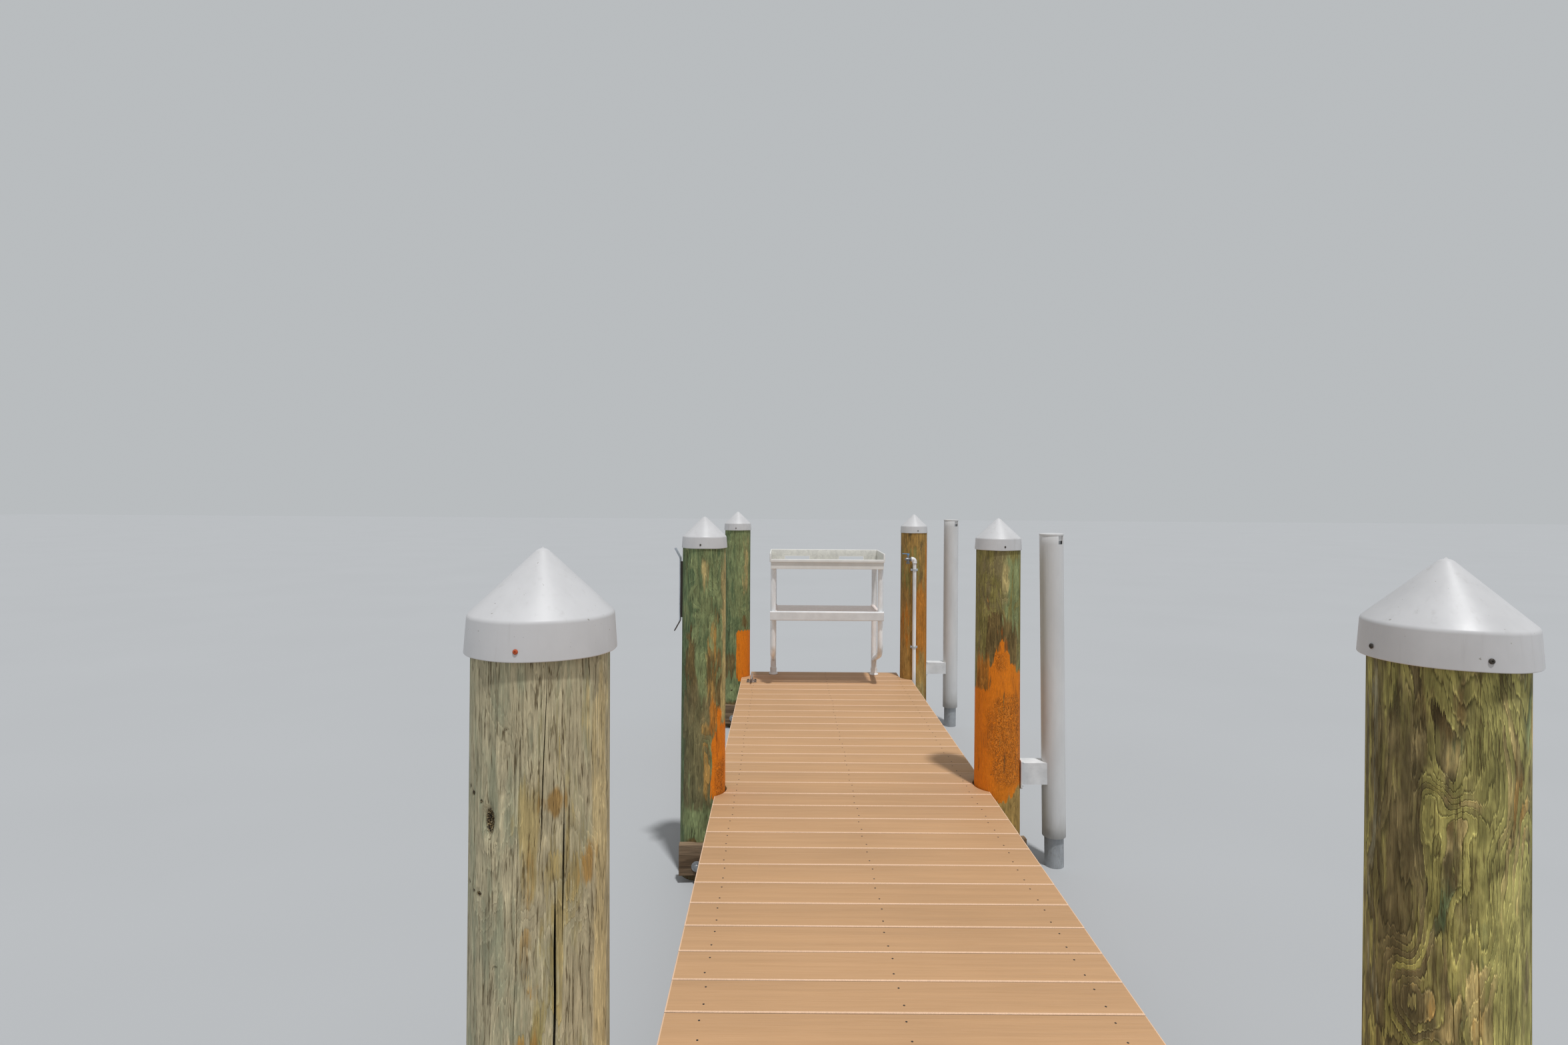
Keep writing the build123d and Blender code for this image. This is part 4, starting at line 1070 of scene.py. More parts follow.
def cap_finish(pile, look, plastic):
    """White moulded plastic with faint dirt, and rust under one screw."""
    skin = Finish(f"{pile.name}_cap_plastic", pile.middle)
    cloud = skin.noise((9, 9, 6), 4, 0.6, seed=look.seed)
    run = skin.noise((60, 60, 2.5), 4, 0.6, seed=look.seed + 1)
    speck = skin.noise((160, 160, 160), 2, 0.5, seed=look.seed + 2)
    shade = skin.grade(plastic.cap, cloud.step(0.3, 0.7, 0.93, 1.03))
    shade = skin.mix(run.step(0.56, 0.80, 0.0, 0.16), shade, plastic.grime)
    shade = skin.mix(speck.step(0.735, 0.775, 0.0, 0.6), shade, plastic.grime)
    for index in look.rusty[:1]:
        screw = pile.point(look.screws[index], pile.rim + CAP_SCREW_LEVEL) - pile.middle
        stain = skin.distance(screw - Vector((0, 0, 0.007)), (1, 1, 0.55)).step(0.011, 0.004)
        shade = skin.mix(stain * 0.55, shade, plastic.rust)
    return skin.done(shade, cloud.step(0.3, 0.7, 0.36, 0.48), skin.bump(cloud, 0.0012))


def sawn_finish(name, along, timber):
    """Sawn treated timber, with its grain along one direction."""
    wood = Finish(name)
    fine, wide = [90.0] * 3, [16.0] * 3
    fine[along], wide[along] = 1.8, 0.8
    fibre = wood.noise(fine, 6, 0.62)
    streak = wood.noise(wide, 4, 0.6, 0.4, 2.0)
    ring = wood.math("SINE", streak * 60.0)
    shade = wood.mix(streak.step(0.32, 0.68), timber.framing_dark, timber.framing)
    shade = wood.grade(shade, ring.step(-0.8, 0.8, 0.84, 1.10))
    shade = wood.grade(shade, fibre.step(0.3, 0.7, 0.74, 1.2))
    shade = wood.mix(fibre.step(0.33, 0.28, 0.0, 0.7), shade, timber.dark)
    return wood.done(shade, 0.82, wood.bump(fibre, 0.0025), specular=0.25)


def metal_finish(name, shade, roughness, metallic, stretch=(60, 60, 60), depth=0.0006, grime=None):
    """Worn metal or enamel, with slight unevenness."""
    skin = Finish(name)
    cloud = skin.noise(stretch, 4, 0.6)
    fine = skin.noise(scaled(stretch, 4), 3, 0.6, seed=3.0)
    tone = skin.grade(shade, cloud.step(0.3, 0.7, 0.84, 1.10))
    if grime is not None:
        tone = skin.mix(fine.step(0.55, 0.78, 0.0, 0.5), tone, grime)
    rough = cloud.step(0.3, 0.7, roughness - 0.06, roughness + 0.08)
    return skin.done(tone, rough, skin.bump(fine, depth), metallic=metallic)


class JETTY_OT_stage(Operator):
    """Lay the floor, light the jetty softly and set the camera"""

    bl_idname = "jetty.stage"
    bl_label = "Stage"

    def execute(self, context):
        stage = context.scene.jetty_stage
        shape = bmesh.new()
        bmesh.ops.create_grid(shape, x_segments=1, y_segments=1, size=60)
        mesh = bpy.data.meshes.new("floor")
        shape.to_mesh(mesh)
        shape.free()
        floor = bpy.data.objects.new("floor", mesh)
        context.scene.collection.objects.link(floor)
        ground = Finish("floor_paint")
        cloud = ground.noise((0.6, 0.6, 0.6), 2)
        mesh.materials.append(ground.done(ground.grade(stage.floor, cloud.step(0, 1, 0.98, 1.02)), 0.9))
        self.light(context, stage)
        self.camera(context, stage)
        return {"FINISHED"}

    def light(self, context, stage):
        """A soft sun, high and slightly from the shore, and even light all round."""
        lamp = bpy.data.lights.new("soft_sun", "SUN")
        lamp.energy = stage.key
        lamp.angle = stage.key_size
        sun = bpy.data.objects.new("soft_sun", lamp)
        sun.matrix_world = aim((2, -4, 6), SUN_DIRECTION)
        context.scene.collection.objects.link(sun)
        world = bpy.data.worlds.new("studio")
        world.use_nodes = True
        context.scene.world = world
        tree = world.node_tree
        fill = tree.nodes["Background"]
        fill.inputs["Color"].default_value = (0.98, 0.99, 1, 1)
        fill.inputs["Strength"].default_value = stage.fill
        backdrop = tree.nodes.new("ShaderNodeBackground")
        backdrop.inputs["Color"].default_value = (*stage.backdrop, 1)
        rays = tree.nodes.new("ShaderNodeLightPath")
        seen = rays.outputs["Is Camera Ray"]
        for name in ("Is Glossy Ray", "Is Transmission Ray"):
            either = tree.nodes.new("ShaderNodeMath")
            either.operation = "MAXIMUM"
            tree.links.new(seen, either.inputs[0])
            tree.links.new(rays.outputs[name], either.inputs[1])
            seen = either.outputs[0]
        mix = tree.nodes.new("ShaderNodeMixShader")
        tree.links.new(seen, mix.inputs[0])
        tree.links.new(fill.outputs[0], mix.inputs[1])
        tree.links.new(backdrop.outputs[0], mix.inputs[2])
        tree.links.new(mix.outputs[0], tree.nodes["World Output"].inputs["Surface"])
        context.scene.view_settings.view_transform = "Standard"

    def camera(self, context, stage):
        """The photographer's place on the jetty."""
        deck_low, deck_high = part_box("middle_bay_deck")
        shore_low, far_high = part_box("shore_bay_deck")[0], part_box("far_bay_deck")[1]
        middle = (deck_low.x + deck_high.x) / 2
        mid_row = (shore_low.y + far_high.y) / 2 + MID_ROW_AHEAD
        eye = (middle + stage.eye_across, mid_row + stage.eye_back, deck_high.z + stage.eye_height)
        data = bpy.data.cameras.new("eye")
        data.sensor_width = 36
        data.lens = data.sensor_width * stage.focal_pixels / stage.photo_width
        data.shift_y = -stage.horizon / stage.photo_width
        data.clip_end = 300
        camera = bpy.data.objects.new("eye", data)
        turn = Matrix.Rotation(radians(-stage.yaw), 4, "Z")
        turn = turn @ Matrix.Rotation(radians(90), 4, "X")
        turn = turn @ Matrix.Rotation(radians(stage.roll), 4, "Z")
        camera.matrix_world = at(eye) @ turn
        context.scene.collection.objects.link(camera)
        context.scene.camera = camera


class JETTY_OT_piles(Operator):
    """Turn the eight piles, with their splits, knots and peeled skin"""

    bl_idname = "jetty.piles"
    bl_label = "Piles"

    def execute(self, context):
        timber = context.scene.jetty_timber
        piles = jetty_piles()
        for name, pile in piles.items():
            look = WEATHER[name]
            fine = 0.85 if pile.row == "near" else 1.4
            shape = pile_shape(pile, piles, look, timber, fine)
            finish = pile_finish(pile, look, timber)
            piece(f"{name}_timber", shape, [finish], [f"{name}_pile"], sharp=50)
        return {"FINISHED"}


class JETTY_OT_caps(Operator):
    """Mould the white pile caps and screw them on"""

    bl_idname = "jetty.caps"
    bl_label = "Pile caps"

    def execute(self, context):
        plastic = context.scene.jetty_plastic
        metal = context.scene.jetty_metal
        dark = metal_finish("cap_screw_steel", metal.steel, 0.55, 0.6)
        rusty = metal_finish("cap_screw_rust", plastic.rust, 0.8, 0.1)
        screws = bmesh.new()
        for name, pile in jetty_piles().items():
            look = WEATHER[name]
            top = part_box(f"{name}_cap")[1].z
            shape = self.moulding(pile, top - pile.rim, plastic.cap_wall, look.seed)
            finish = cap_finish(pile, look, plastic)
            piece(f"{name}_moulding", shape, [finish], [f"{name}_cap"], sharp=40)
            for index, azimuth in enumerate(look.screws):
                out = outward(azimuth)
                reach = pile.rim_radius - (1 - CAP_SHOULDER) * CAP_SCREW_LEVEL / CAP_SKIRT
                spot = pile.middle + out * (reach + 0.0004) + Vector((0, 0, pile.rim + CAP_SCREW_LEVEL))
                rust = int(index in look.rusty)
                put(screws, pan_screw(0.0044), aim(spot, out + Vector((0, 0, 0.07))), rust)
        piece("cap_screws", screws, [dark, rusty])
        return {"FINISHED"}

    def moulding(self, pile, rise, wall, seed):
        """A cone with rounded apex and shoulder over a tapered skirt, open below."""
        rim = pile.rim_radius
        shoulder, skirt = CAP_SHOULDER * rim, CAP_SKIRT * rim
        tip = 0.018
        slope = atan2(0.915, CAP_SHOULDER)
        cone = rise - skirt + tip * (1 / cos(slope) - 1)
        outer = rounded([(0, skirt + cone), (shoulder, skirt), (rim - 0.0005, 0.0012)], 0.011, 6)
        turns = [slope * step / 6 for step in range(7)]
        ball = [(tip * sin(turn), rise - tip * (1 - cos(turn))) for turn in turns]
        profile = ball + [tuple(point) for point in outer[1:]] + [(rim - wall / 2, 0), (rim - wall, 0.0012)]
        profile += [(shoulder - wall, skirt - wall * 0.4), (0, skirt + cone - wall * 1.38)]
        shape = turned(profile, 96)
        for vert in shape.verts:
            warp = Vector((vert.co.x * 6, vert.co.y * 6, seed))
            vert.co += Vector((vert.co.x, vert.co.y, 0)) * 0.008 * noise(warp)
            vert.co.z += 0.0012 * noise(warp * 2)
        bmesh.ops.translate(shape, vec=pile.middle + Vector((0, 0, pile.rim)), verts=shape.verts)
        return shape


class JETTY_OT_framing(Operator):
    """Finish the sawn timbers under the deck and bolt the cross beams"""

    bl_idname = "jetty.framing"
    bl_label = "Framing"

    def execute(self, context):
        timber = context.scene.jetty_timber
        metal = context.scene.jetty_metal
        along_x = sawn_finish("beam_timber", 0, timber)
        along_y = sawn_finish("stringer_timber", 1, timber)
        for node in ("shore_cross_beam", "near_cross_beams", "mid_cross_beams", "far_cross_beam"):
            dress(node, along_x, 0.0025)
        for node in ("shore_end_joist", "far_end_joist"):
            dress(node, along_x, 0.0025)
        for node in STRINGERS:
            dress(node, along_y, 0.0025)
        zinc = metal_finish("bolt_zinc", metal.zinc, 0.5, 0.75, grime=metal.steel)
        shape = bmesh.new()
        piles = jetty_piles()
        beam_low, beam_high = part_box("near_cross_beams")
        for row in ROWS:
            _, across, ahead, seat, sides = row_axis(piles, row)
            for side in SIDES:
                pile = piles[f"{row}_{side}"]
                for offset, share in ((-0.022, 0.30), (0.022, 0.70)):
                    level = beam_low.z + (beam_high.z - beam_low.z) * share
                    middle = pile.middle + across * offset + Vector((0, 0, level))
                    for way in (-1, 1):
                        reach = seat + BEAM_WIDTH
                        if way not in sides:
                            reach = sqrt(pile.radius(level) ** 2 - offset ** 2) - 0.002
                        place = aim(middle + ahead * way * reach, ahead * way)
                        put(shape, bolt(0.0125, 0.024), place)
                        if way == sides[0]:
                            put(shape, swept(0.008, [(0, 0, 0.008), (0, 0, 0.022)], 12), place)
        piece("beam_bolts", shape, [zinc])
        return {"FINISHED"}


class JETTY_OT_deck(Operator):
    """Lay the deck boards, notched round the piles, and screw them down"""

    bl_idname = "jetty.deck"
    bl_label = "Deck"

    def execute(self, context):
        deck = context.scene.jetty_deck
        metal = context.scene.jetty_metal
        dice = random.Random(11)
        piles = jetty_piles()
        finish = self.finish(deck)
        screws = bmesh.new()
        for bay in BAYS:
            low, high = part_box(f"{bay}_bay_deck")
            shape = bmesh.new()
            tone = shape.verts.layers.float.new("tone")
            along = shape.verts.layers.float.new("along")
            count = round((high.y - low.y + deck.gap) / deck.pitch)
            for index in range(count):
                near = low.y + index * deck.pitch
                far = near + deck.pitch - deck.gap
                board = self.board(near, far, low, high, piles, deck)
                sag = 0.0006 * dice.random()
                points = put(shape, board, at((0, 0, -sag)))
                shade = dice.random()
                for vert in points:
                    vert[tone] = shade
                    vert[along] = vert.co.y - near
                self.screw_down(screws, (near + far) / 2, high.z - sag, piles, deck, dice)
            piece(f"{bay}_bay_boards", shape, [finish], [f"{bay}_bay_deck"], sharp=60)
        steel = metal_finish("deck_screw_steel", metal.steel, 0.5, 0.6)
        piece("deck_screws", screws, [steel])
        return {"FINISHED"}

    def edge_points(self, side, near, far, low, high, piles, deck):
        """Outline of a board's end, from its near corner to its far one."""
        edge = low.x if side < 0 else high.x
        stations = {near, far}
        notches = []
        for pile in piles.values():
            if (pile.side == "left") != (side < 0):
                continue
            radius = pile.radius(low.z) + deck.notch_gap
            reach = sqrt(max(0.0, radius ** 2 - (edge - pile.middle.x) ** 2))
            open_side = {"shore": -1, "far": 1}.get(pile.row, 0)
            notches.append((pile, radius, open_side))
            steps = ceil(2 * reach / deck.arc_step)
            for step in range(steps + 1):
                stations.add(pile.middle.y + reach * sin(pi * (step / steps - 0.5)))
            stations.add(pile.middle.y)
        points = []
        for y in sorted(station for station in stations if near <= station <= far):
            x = edge
            for pile, radius, open_side in notches:
                offset = y - pile.middle.y
                if offset * open_side > 0:
                    offset = 0.0
                if abs(offset) < radius:
                    cut = pile.middle.x - side * sqrt(radius ** 2 - offset ** 2)
                    x = max(x, cut) if side < 0 else min(x, cut)
            if not points or hypot(x - points[-1][0], y - points[-1][1]) > 0.0008:
                points.append((x, y))
        return points

    def board(self, near, far, low, high, piles, deck):
        """One board between two lines across the jetty."""
        right = self.edge_points(1, near, far, low, high, piles, deck)
        left = self.edge_points(-1, near, far, low, high, piles, deck)
        part = bmesh.new()
        base = part.faces.new([part.verts.new((x, y, low.z)) for x, y in right + left[::-1]])
        made = bmesh.ops.extrude_face_region(part, geom=[base])["geom"]
        top = [item for item in made if isinstance(item, bmesh.types.BMVert)]
        bmesh.ops.translate(part, vec=(0, 0, high.z - low.z), verts=top)
        bmesh.ops.recalc_face_normals(part, faces=part.faces)
        rims = [edge for edge in part.edges if all(vert in top for vert in edge.verts)]
        round_edges(part, deck.arris, rims)
        return part

    def screw_down(self, screws, middle, level, piles, deck, dice):
        """Two screws into each stringer that the board still covers."""
        for node in STRINGERS:
            across = centre(node).x
            for side in (-1, 1):
                along = middle + side * deck.screw_spread
                spot = Vector((across + dice.uniform(-0.006, 0.006), along, level))
                gaps = ((spot.xy - pile.middle.xy).length - pile.radius(level) for pile in piles.values())
                clear = min(gaps)
                if clear > 0.02:
                    put(screws, self.screw(deck.screw_radius), at(spot))

    def screw(self, radius):
        """A countersunk head just proud of the board."""
        profile = [(radius * 1.12, -0.0002), (radius, 0.0005), (radius * 0.5, 0.0007)]
        return turned(profile + [(radius * 0.3, 0.0001), (0, 0)], 10)

    def finish(self, deck):
        """Brushed tan composite board, with a painted highlight along the near edge of each board and along
        the deck's sides, and painted shade in the gaps.
        """
        skin = Finish("tan_board")
        fine = skin.noise((7, 420, 90), 4, 0.6)
        broad = skin.noise((1.6, 60, 20), 3, 0.55, seed=2.0)
        cloud = skin.noise((1.4, 1.4, 1.4), 3, 0.55, seed=4.0)
        speck = skin.noise((300, 300, 90), 3, 0.6, seed=6.0)
        shade = skin.mix(fine.step(0.42, 0.72, 0.0, 0.55), deck.tan, deck.grain)
        shade = skin.grade(shade, broad.step(0.25, 0.75, 0.95, 1.05))
        shade = skin.grade(shade, cloud.step(0.3, 0.7, 0.965, 1.03))
        shade = skin.grade(shade, skin.attribute("tone").step(0.0, 1.0, 0.965, 1.03))

        along = skin.attribute("along")
        level = skin.axis("Z")
        upper = level.step(deck_top() - 0.008, deck_top() - 0.004)
        # Painted highlight: a pale strip along each board's near edge, where its arris catches the light.
        worn = (along + speck.around(0.004)).step(deck.worn + 0.0008, deck.worn - 0.0008) * upper
        bright = skin.grade(deck.pale, speck.step(0.3, 0.7, 0.86, 1.12))
        shade = skin.mix(worn * 0.8, shade, bright)
        low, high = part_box("middle_bay_deck")
        middle, half = (low.x + high.x) / 2, (high.x - low.x) / 2
        # Painted highlight along the deck's two side edges too.
        side = abs(skin.axis("X") - middle).step(half - 0.005, half - 0.003) * upper
        shade = skin.mix(side * 0.8, shade, deck.pale)
        reach = (deck.pitch - deck.gap) / 2
        # Painted shade on the board sides below the arris, in the gaps between boards.
        gap_shade = abs(along - reach).step(reach - 0.0008, reach - 0.0002)
        gap_shade = gap_shade * level.step(deck_top() - 0.0022, deck_top() - 0.0034)
        shade = skin.grade(shade, gap_shade.step(0.0, 1.0, 1.0, 0.22))
        return skin.done(shade, fine.step(0.3, 0.7, 0.56, 0.70), skin.bump(fine, 0.0008), specular=0.35)


class JETTY_OT_guide_poles(Operator):
    """Make the two guide poles, their pipes, caps and brackets"""

    bl_idname = "jetty.guide_poles"
    bl_label = "Guide poles"

    def execute(self, context):
        plastic = context.scene.jetty_plastic
        metal = context.scene.jetty_metal
        sleeve_finish = self.sleeve_finish(plastic)
        enamel = metal_finish("bracket_coat", scaled(metal.enamel, 0.86), 0.42, 0.0, (9, 9, 9), 0.0004)
        old_pipe = metal_finish("old_pipe", metal.zinc, 0.7, 0.35, (30, 30, 12), 0.0015, plastic.grime)
        bolts = bmesh.new()
        for row in ("mid", "far"):
            node = f"{row}_guide_pole_sleeve"
            piece(f"{row}_pole_sleeve", self.sleeve(node), [sleeve_finish], [node], 40)
            node = f"{row}_guide_pole_bracket"
            dress(node, enamel, 0.0015)
            low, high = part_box(node)
            margin = (high.z - low.z) / 2 - 0.013
            for side in (-1, 1):
                for rise in (-1, 1):
                    spot = (low + high) / 2 + Vector((0, side * 0.042, rise * margin))
                    spot.x = low.x + 0.008
                    put(bolts, bolt(0.0060, 0.0105), aim(spot, (1, 0, 0)))
        dress("guide_pole_cores", old_pipe)
        dress("guide_pole_caps", sleeve_finish, 0.002)
        zinc = metal_finish("bracket_bolt_zinc", metal.zinc, 0.5, 0.7, grime=metal.steel)
        piece("bracket_bolts", bolts, [zinc])
        return {"FINISHED"}

    def sleeve(self, node):
        """A pipe with a notch in its top, which leans as its solid does."""
        low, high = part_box(node)
        radius, wall = 0.055, 0.005
        foot = Vector((high.x - radius, (low.y + high.y) / 2, low.z))
        head = Vector((low.x + radius, (low.y + high.y) / 2, high.z))
        axis = head - foot
        notch_low, notch_angle, notch_half = axis.length - 0.042, 37.0, 17.0
        shape = bmesh.new()
        rings = [0, 0.0015, 0.05, 0.3, 0.6, notch_low, axis.length - 0.0015, axis.length]
        bmesh.ops.create_grid(shape, x_segments=80, y_segments=len(rings) - 1, size=1)
        for vert in shape.verts:
            level = rings[round((vert.co.y + 1) / 2 * (len(rings) - 1))]
            inset = 0.001 if level in (0, axis.length) else 0.0
            vert.co = outward(180 * vert.co.x) * (radius - inset) + Vector((0, 0, level))
        gone = []
        for face in shape.faces:
            spot = face.calc_center_median()
            azimuth = degrees(atan2(spot.x, -spot.y))
            if spot.z > notch_low and abs(turn_gap(azimuth, notch_angle)) < notch_half:
                gone.append(face)
        bmesh.ops.delete(shape, geom=gone, context="FACES")
        bmesh.ops.remove_doubles(shape, verts=shape.verts, dist=WELD)
        bmesh.ops.recalc_face_normals(shape, faces=shape.faces)
        bmesh.ops.solidify(shape, geom=shape.faces[:], thickness=wall)
        bmesh.ops.recalc_face_normals(shape, faces=shape.faces)
        lean = Vector((0, 0, 1)).rotation_difference(axis).to_matrix().to_4x4()
        bmesh.ops.transform(shape, matrix=at(foot) @ lean, verts=shape.verts)
        return shape

    def sleeve_finish(self, plastic):
        """Grey-white pipe, soiled towards the water."""
        skin = Finish("sleeve_pipe")
        cloud = skin.noise((12, 12, 3), 4, 0.6)
        run = skin.noise((70, 70, 1.5), 4, 0.6, seed=2.0)
        shade = skin.grade(plastic.sleeve, cloud.step(0.3, 0.7, 0.94, 1.05))
        shade = skin.mix(run.step(0.56, 0.80, 0.0, 0.14), shade, plastic.grime)
        low = (skin.axis("Z") + cloud * 0.12).step(0.34, 0.18)
        shade = skin.mix(low * 0.45, shade, plastic.grime)
        return skin.done(shade, cloud.step(0.3, 0.7, 0.34, 0.46), skin.bump(cloud, 0.0006))


class JETTY_OT_table(Operator):
    """Build the cleaning table at the far end"""

    bl_idname = "jetty.table"
    bl_label = "Cleaning table"

    def execute(self, context):
        metal = context.scene.jetty_metal
        plastic = context.scene.jetty_plastic
        enamel = metal_finish("table_coat", metal.enamel, 0.34, 0.0, (14, 14, 5), 0.0003)
        feet = bmesh.new()
        for node in ("table_left_frame", "table_right_frame"):
            piece(f"{node}_tubes", self.tubes(node), [enamel], [node], 40)
            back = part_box(node)[1].y - POST_RADIUS
            put(feet, self.foot(), at((centre(node).x, back, deck_top())))
        piece("table_sockets", feet, [enamel], ["table_feet"], 40)
        dress("table_shelf", self.shelf_finish(metal), 0.0022)
        piece("table_moulding", self.tray(), [self.tray_finish(plastic)], ["table_tray"], 40)
        return {"FINISHED"}

    def tubes(self, node):
        """A straight rear post and a front tube that bends back into it."""
        low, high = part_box(node)
        across = (low.x + high.x) / 2
        front_radius, bend = 0.0195, 0.085
        back, front = high.y - POST_RADIUS, low.y + front_radius
        deck = deck_top()
        shape = bmesh.new()
        put(shape, swept(POST_RADIUS, [(across, back, low.z), (across, back, high.z)], 40))
        corners = [(across, front, high.z), (across, front, deck + 0.232), (across, back, deck + 0.118)]
        put(shape, swept(front_radius, rounded(corners, bend, 10), 40))
        return shape

    def foot(self):
        """A socket that a post stands in, screwed down by its flange."""
        flange, plate, collar, height = 0.034, 0.007, 0.0248, 0.052
        profile = [(0, 0), (flange, 0), (flange, plate * 0.7), (flange - 0.002, plate)]
        profile += [(collar + 0.004, plate + 0.001), (collar + 0.001, plate + 0.0045)]
        profile += [(collar, plate + 0.009), (collar, height - 0.001), (collar - 0.001, height)]
        profile += [(0.0218, height), (0.0216, height - 0.002), (0.0216, plate), (0, plate)]
        shape = turned(profile, 48)
        for quarter in range(4):
            turn = radians(45 + 90 * quarter)
            put(shape, pan_screw(0.0026), at((0.0300 * cos(turn), 0.0300 * sin(turn), plate)))
        for side in (-1, 1):
            put(shape, pan_screw(0.0032), aim((side * collar, 0, height - 0.014), (side, 0, 0)))
        return shape

    def tray(self):
        """A shallow tray: rolled rims, a low front lip, and two slots at the
        back that let the wash water out."""
        low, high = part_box("table_tray")
        middle = (low + high) / 2
        half_x, half_y, top = (high.x - low.x) / 2, (high.y - low.y) / 2, high.z - low.z
        slots = [side * SLOT_OFFSET + way * SLOT_WIDTH / 2 for side in (-1, 1) for way in (-1, 1)]
        corner, steps = 0.012, 5
        stations = [half_x - corner - 0.0005, *sorted(slots, reverse=True), 0.0005 - half_x + corner]
        shape = bmesh.new()

        def ring(inset, level, drop=0.0):
            """One level line of the tray, as far in from its outside as inset,
            and lower at the front by drop."""
            radius = max(corner - inset, 0.0015)
            reach_x, reach_y = half_x - inset - radius, half_y - inset - radius
            line = [(x, half_y - inset, level) for x in stations]
            for side_x, side_y, start in ((-1, 1, 90), (-1, -1, 180), (1, -1, 270), (1, 1, 0)):
                for step in range(steps + 1):
                    turn = radians(start + 90 * step / steps)
                    x = side_x * reach_x + radius * cos(turn)
                    line.append((x, side_y * reach_y + radius * sin(turn), level))
                if (side_x, side_y) == (-1, -1):
                    line += [(-x, inset - half_y, level - drop) for x in stations]
            return line

        def walls(loops, skipped=(), levels=()):
            """Faces between rings of points, but for cells left open."""
            for level, (first, second) in enumerate(zip(loops, loops[1:])):
                for index in range(len(first)):
                    after = (index + 1) % len(first)
                    if not (index in skipped and level in levels):
                        shape.faces.new((first[index], first[after], second[after], second[index]))

        lip = TRAY_LIP_DROP
        foot = ring(TRAY_OVERHANG + 0.002, 0.0)
        lines = [
            foot,
            ring(TRAY_OVERHANG, 0.002),
            ring(TRAY_OVERHANG, TRAY_FLOOR + 0.002),
            ring(TRAY_OVERHANG, TRAY_SHELL),
            ring(0.002, TRAY_SHELL),
            ring(0.0, TRAY_SHELL + 0.002),
            ring(0.0, SLOT_TOP),
            ring(0.0, top - 0.003, lip),
            ring(0.001, top - 0.001, lip),
            ring(0.003, top, lip),
            ring(TRAY_WALL - 0.003, top, lip),
            ring(TRAY_WALL - 0.001, top - 0.001, lip),
            ring(TRAY_WALL, top - 0.003, lip),
            ring(TRAY_WALL, SLOT_TOP),
            ring(TRAY_WALL, TRAY_FLOOR + 0.002),
            ring(TRAY_WALL + 0.002, TRAY_FLOOR),
        ]
        rings = [[shape.verts.new(point) for point in line] for line in lines]
        slot_cells = {
            index for index, pair in enumerate(zip(stations, stations[1:]))
            if abs(abs(sum(pair) / 2) - SLOT_OFFSET) < SLOT_WIDTH / 2
        }
        walls(rings, slot_cells, (2, 3, 4, 5, 13))
        for index in slot_cells:
            outside, across = ([rings[level][index + step] for level in range(2, 7)] for step in (0, 1))
            inside, beyond = ([rings[level][index + step] for level in (14, 13)] for step in (0, 1))
            shape.faces.new((outside[0], across[0], beyond[0], inside[0]))
            shape.faces.new((outside[-1], inside[1], beyond[1], across[-1]))
            shape.faces.new((*outside, inside[1], inside[0]))
            shape.faces.new((*reversed(across), beyond[0], beyond[1]))
        shape.faces.new(rings[-1])
        pocket_x, pocket_y = half_x - TRAY_OVERHANG - 0.050, half_y - TRAY_OVERHANG - 0.010
        under = []
        for level in (0.0, TRAY_POCKET):
            line = [(max(-pocket_x, min(pocket_x, x)), max(-pocket_y, min(pocket_y, y))) for x, y, _ in foot]
            under.append([shape.verts.new((x, y, level)) for x, y in line])
        walls([under[1], under[0], rings[0]])
        shape.faces.new(under[1])
        bmesh.ops.remove_doubles(shape, verts=shape.verts, dist=WELD)
        bmesh.ops.dissolve_degenerate(shape, edges=shape.edges, dist=WELD)
        bmesh.ops.recalc_face_normals(shape, faces=shape.faces)
        bmesh.ops.translate(shape, vec=(middle.x, middle.y, low.z), verts=shape.verts)
        return shape

    def shelf_finish(self, metal):
        """White bar in front, with painted shade below its top lip, and a pale pinkish panel behind it,
        whose pink is a painted reflection of the deck in the tray's shade.
        """
        low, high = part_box("table_shelf")
        skin = Finish("shelf_coat", centre("table_shelf"))
        cloud = skin.noise((14, 14, 14), 4, 0.6)
        mottle = skin.noise((60, 60, 60), 4, 0.6, seed=2.0)
        half = (high - low) / 2
        behind = skin.axis("Y").step(0.024 - half.y, 0.026 - half.y)
        # The panel's pale pink is painted light: the deck's reflection in the tray's shade.
        panel = skin.grade(metal.worn, mottle.step(0.3, 0.7, 0.90, 1.04))
        shade = skin.grade(metal.enamel, cloud.step(0.3, 0.7, 0.93, 1.03))
        # Painted shade: the bar is darker below its top lip.
        lip = skin.axis("Z").step(half.z - 0.012, half.z - 0.008, 0.86, 1.0)
        shade = skin.mix(behind, skin.grade(shade, lip), panel)
        return skin.done(shade, cloud.step(0.3, 0.7, 0.34, 0.48), skin.bump(mottle, 0.0003))

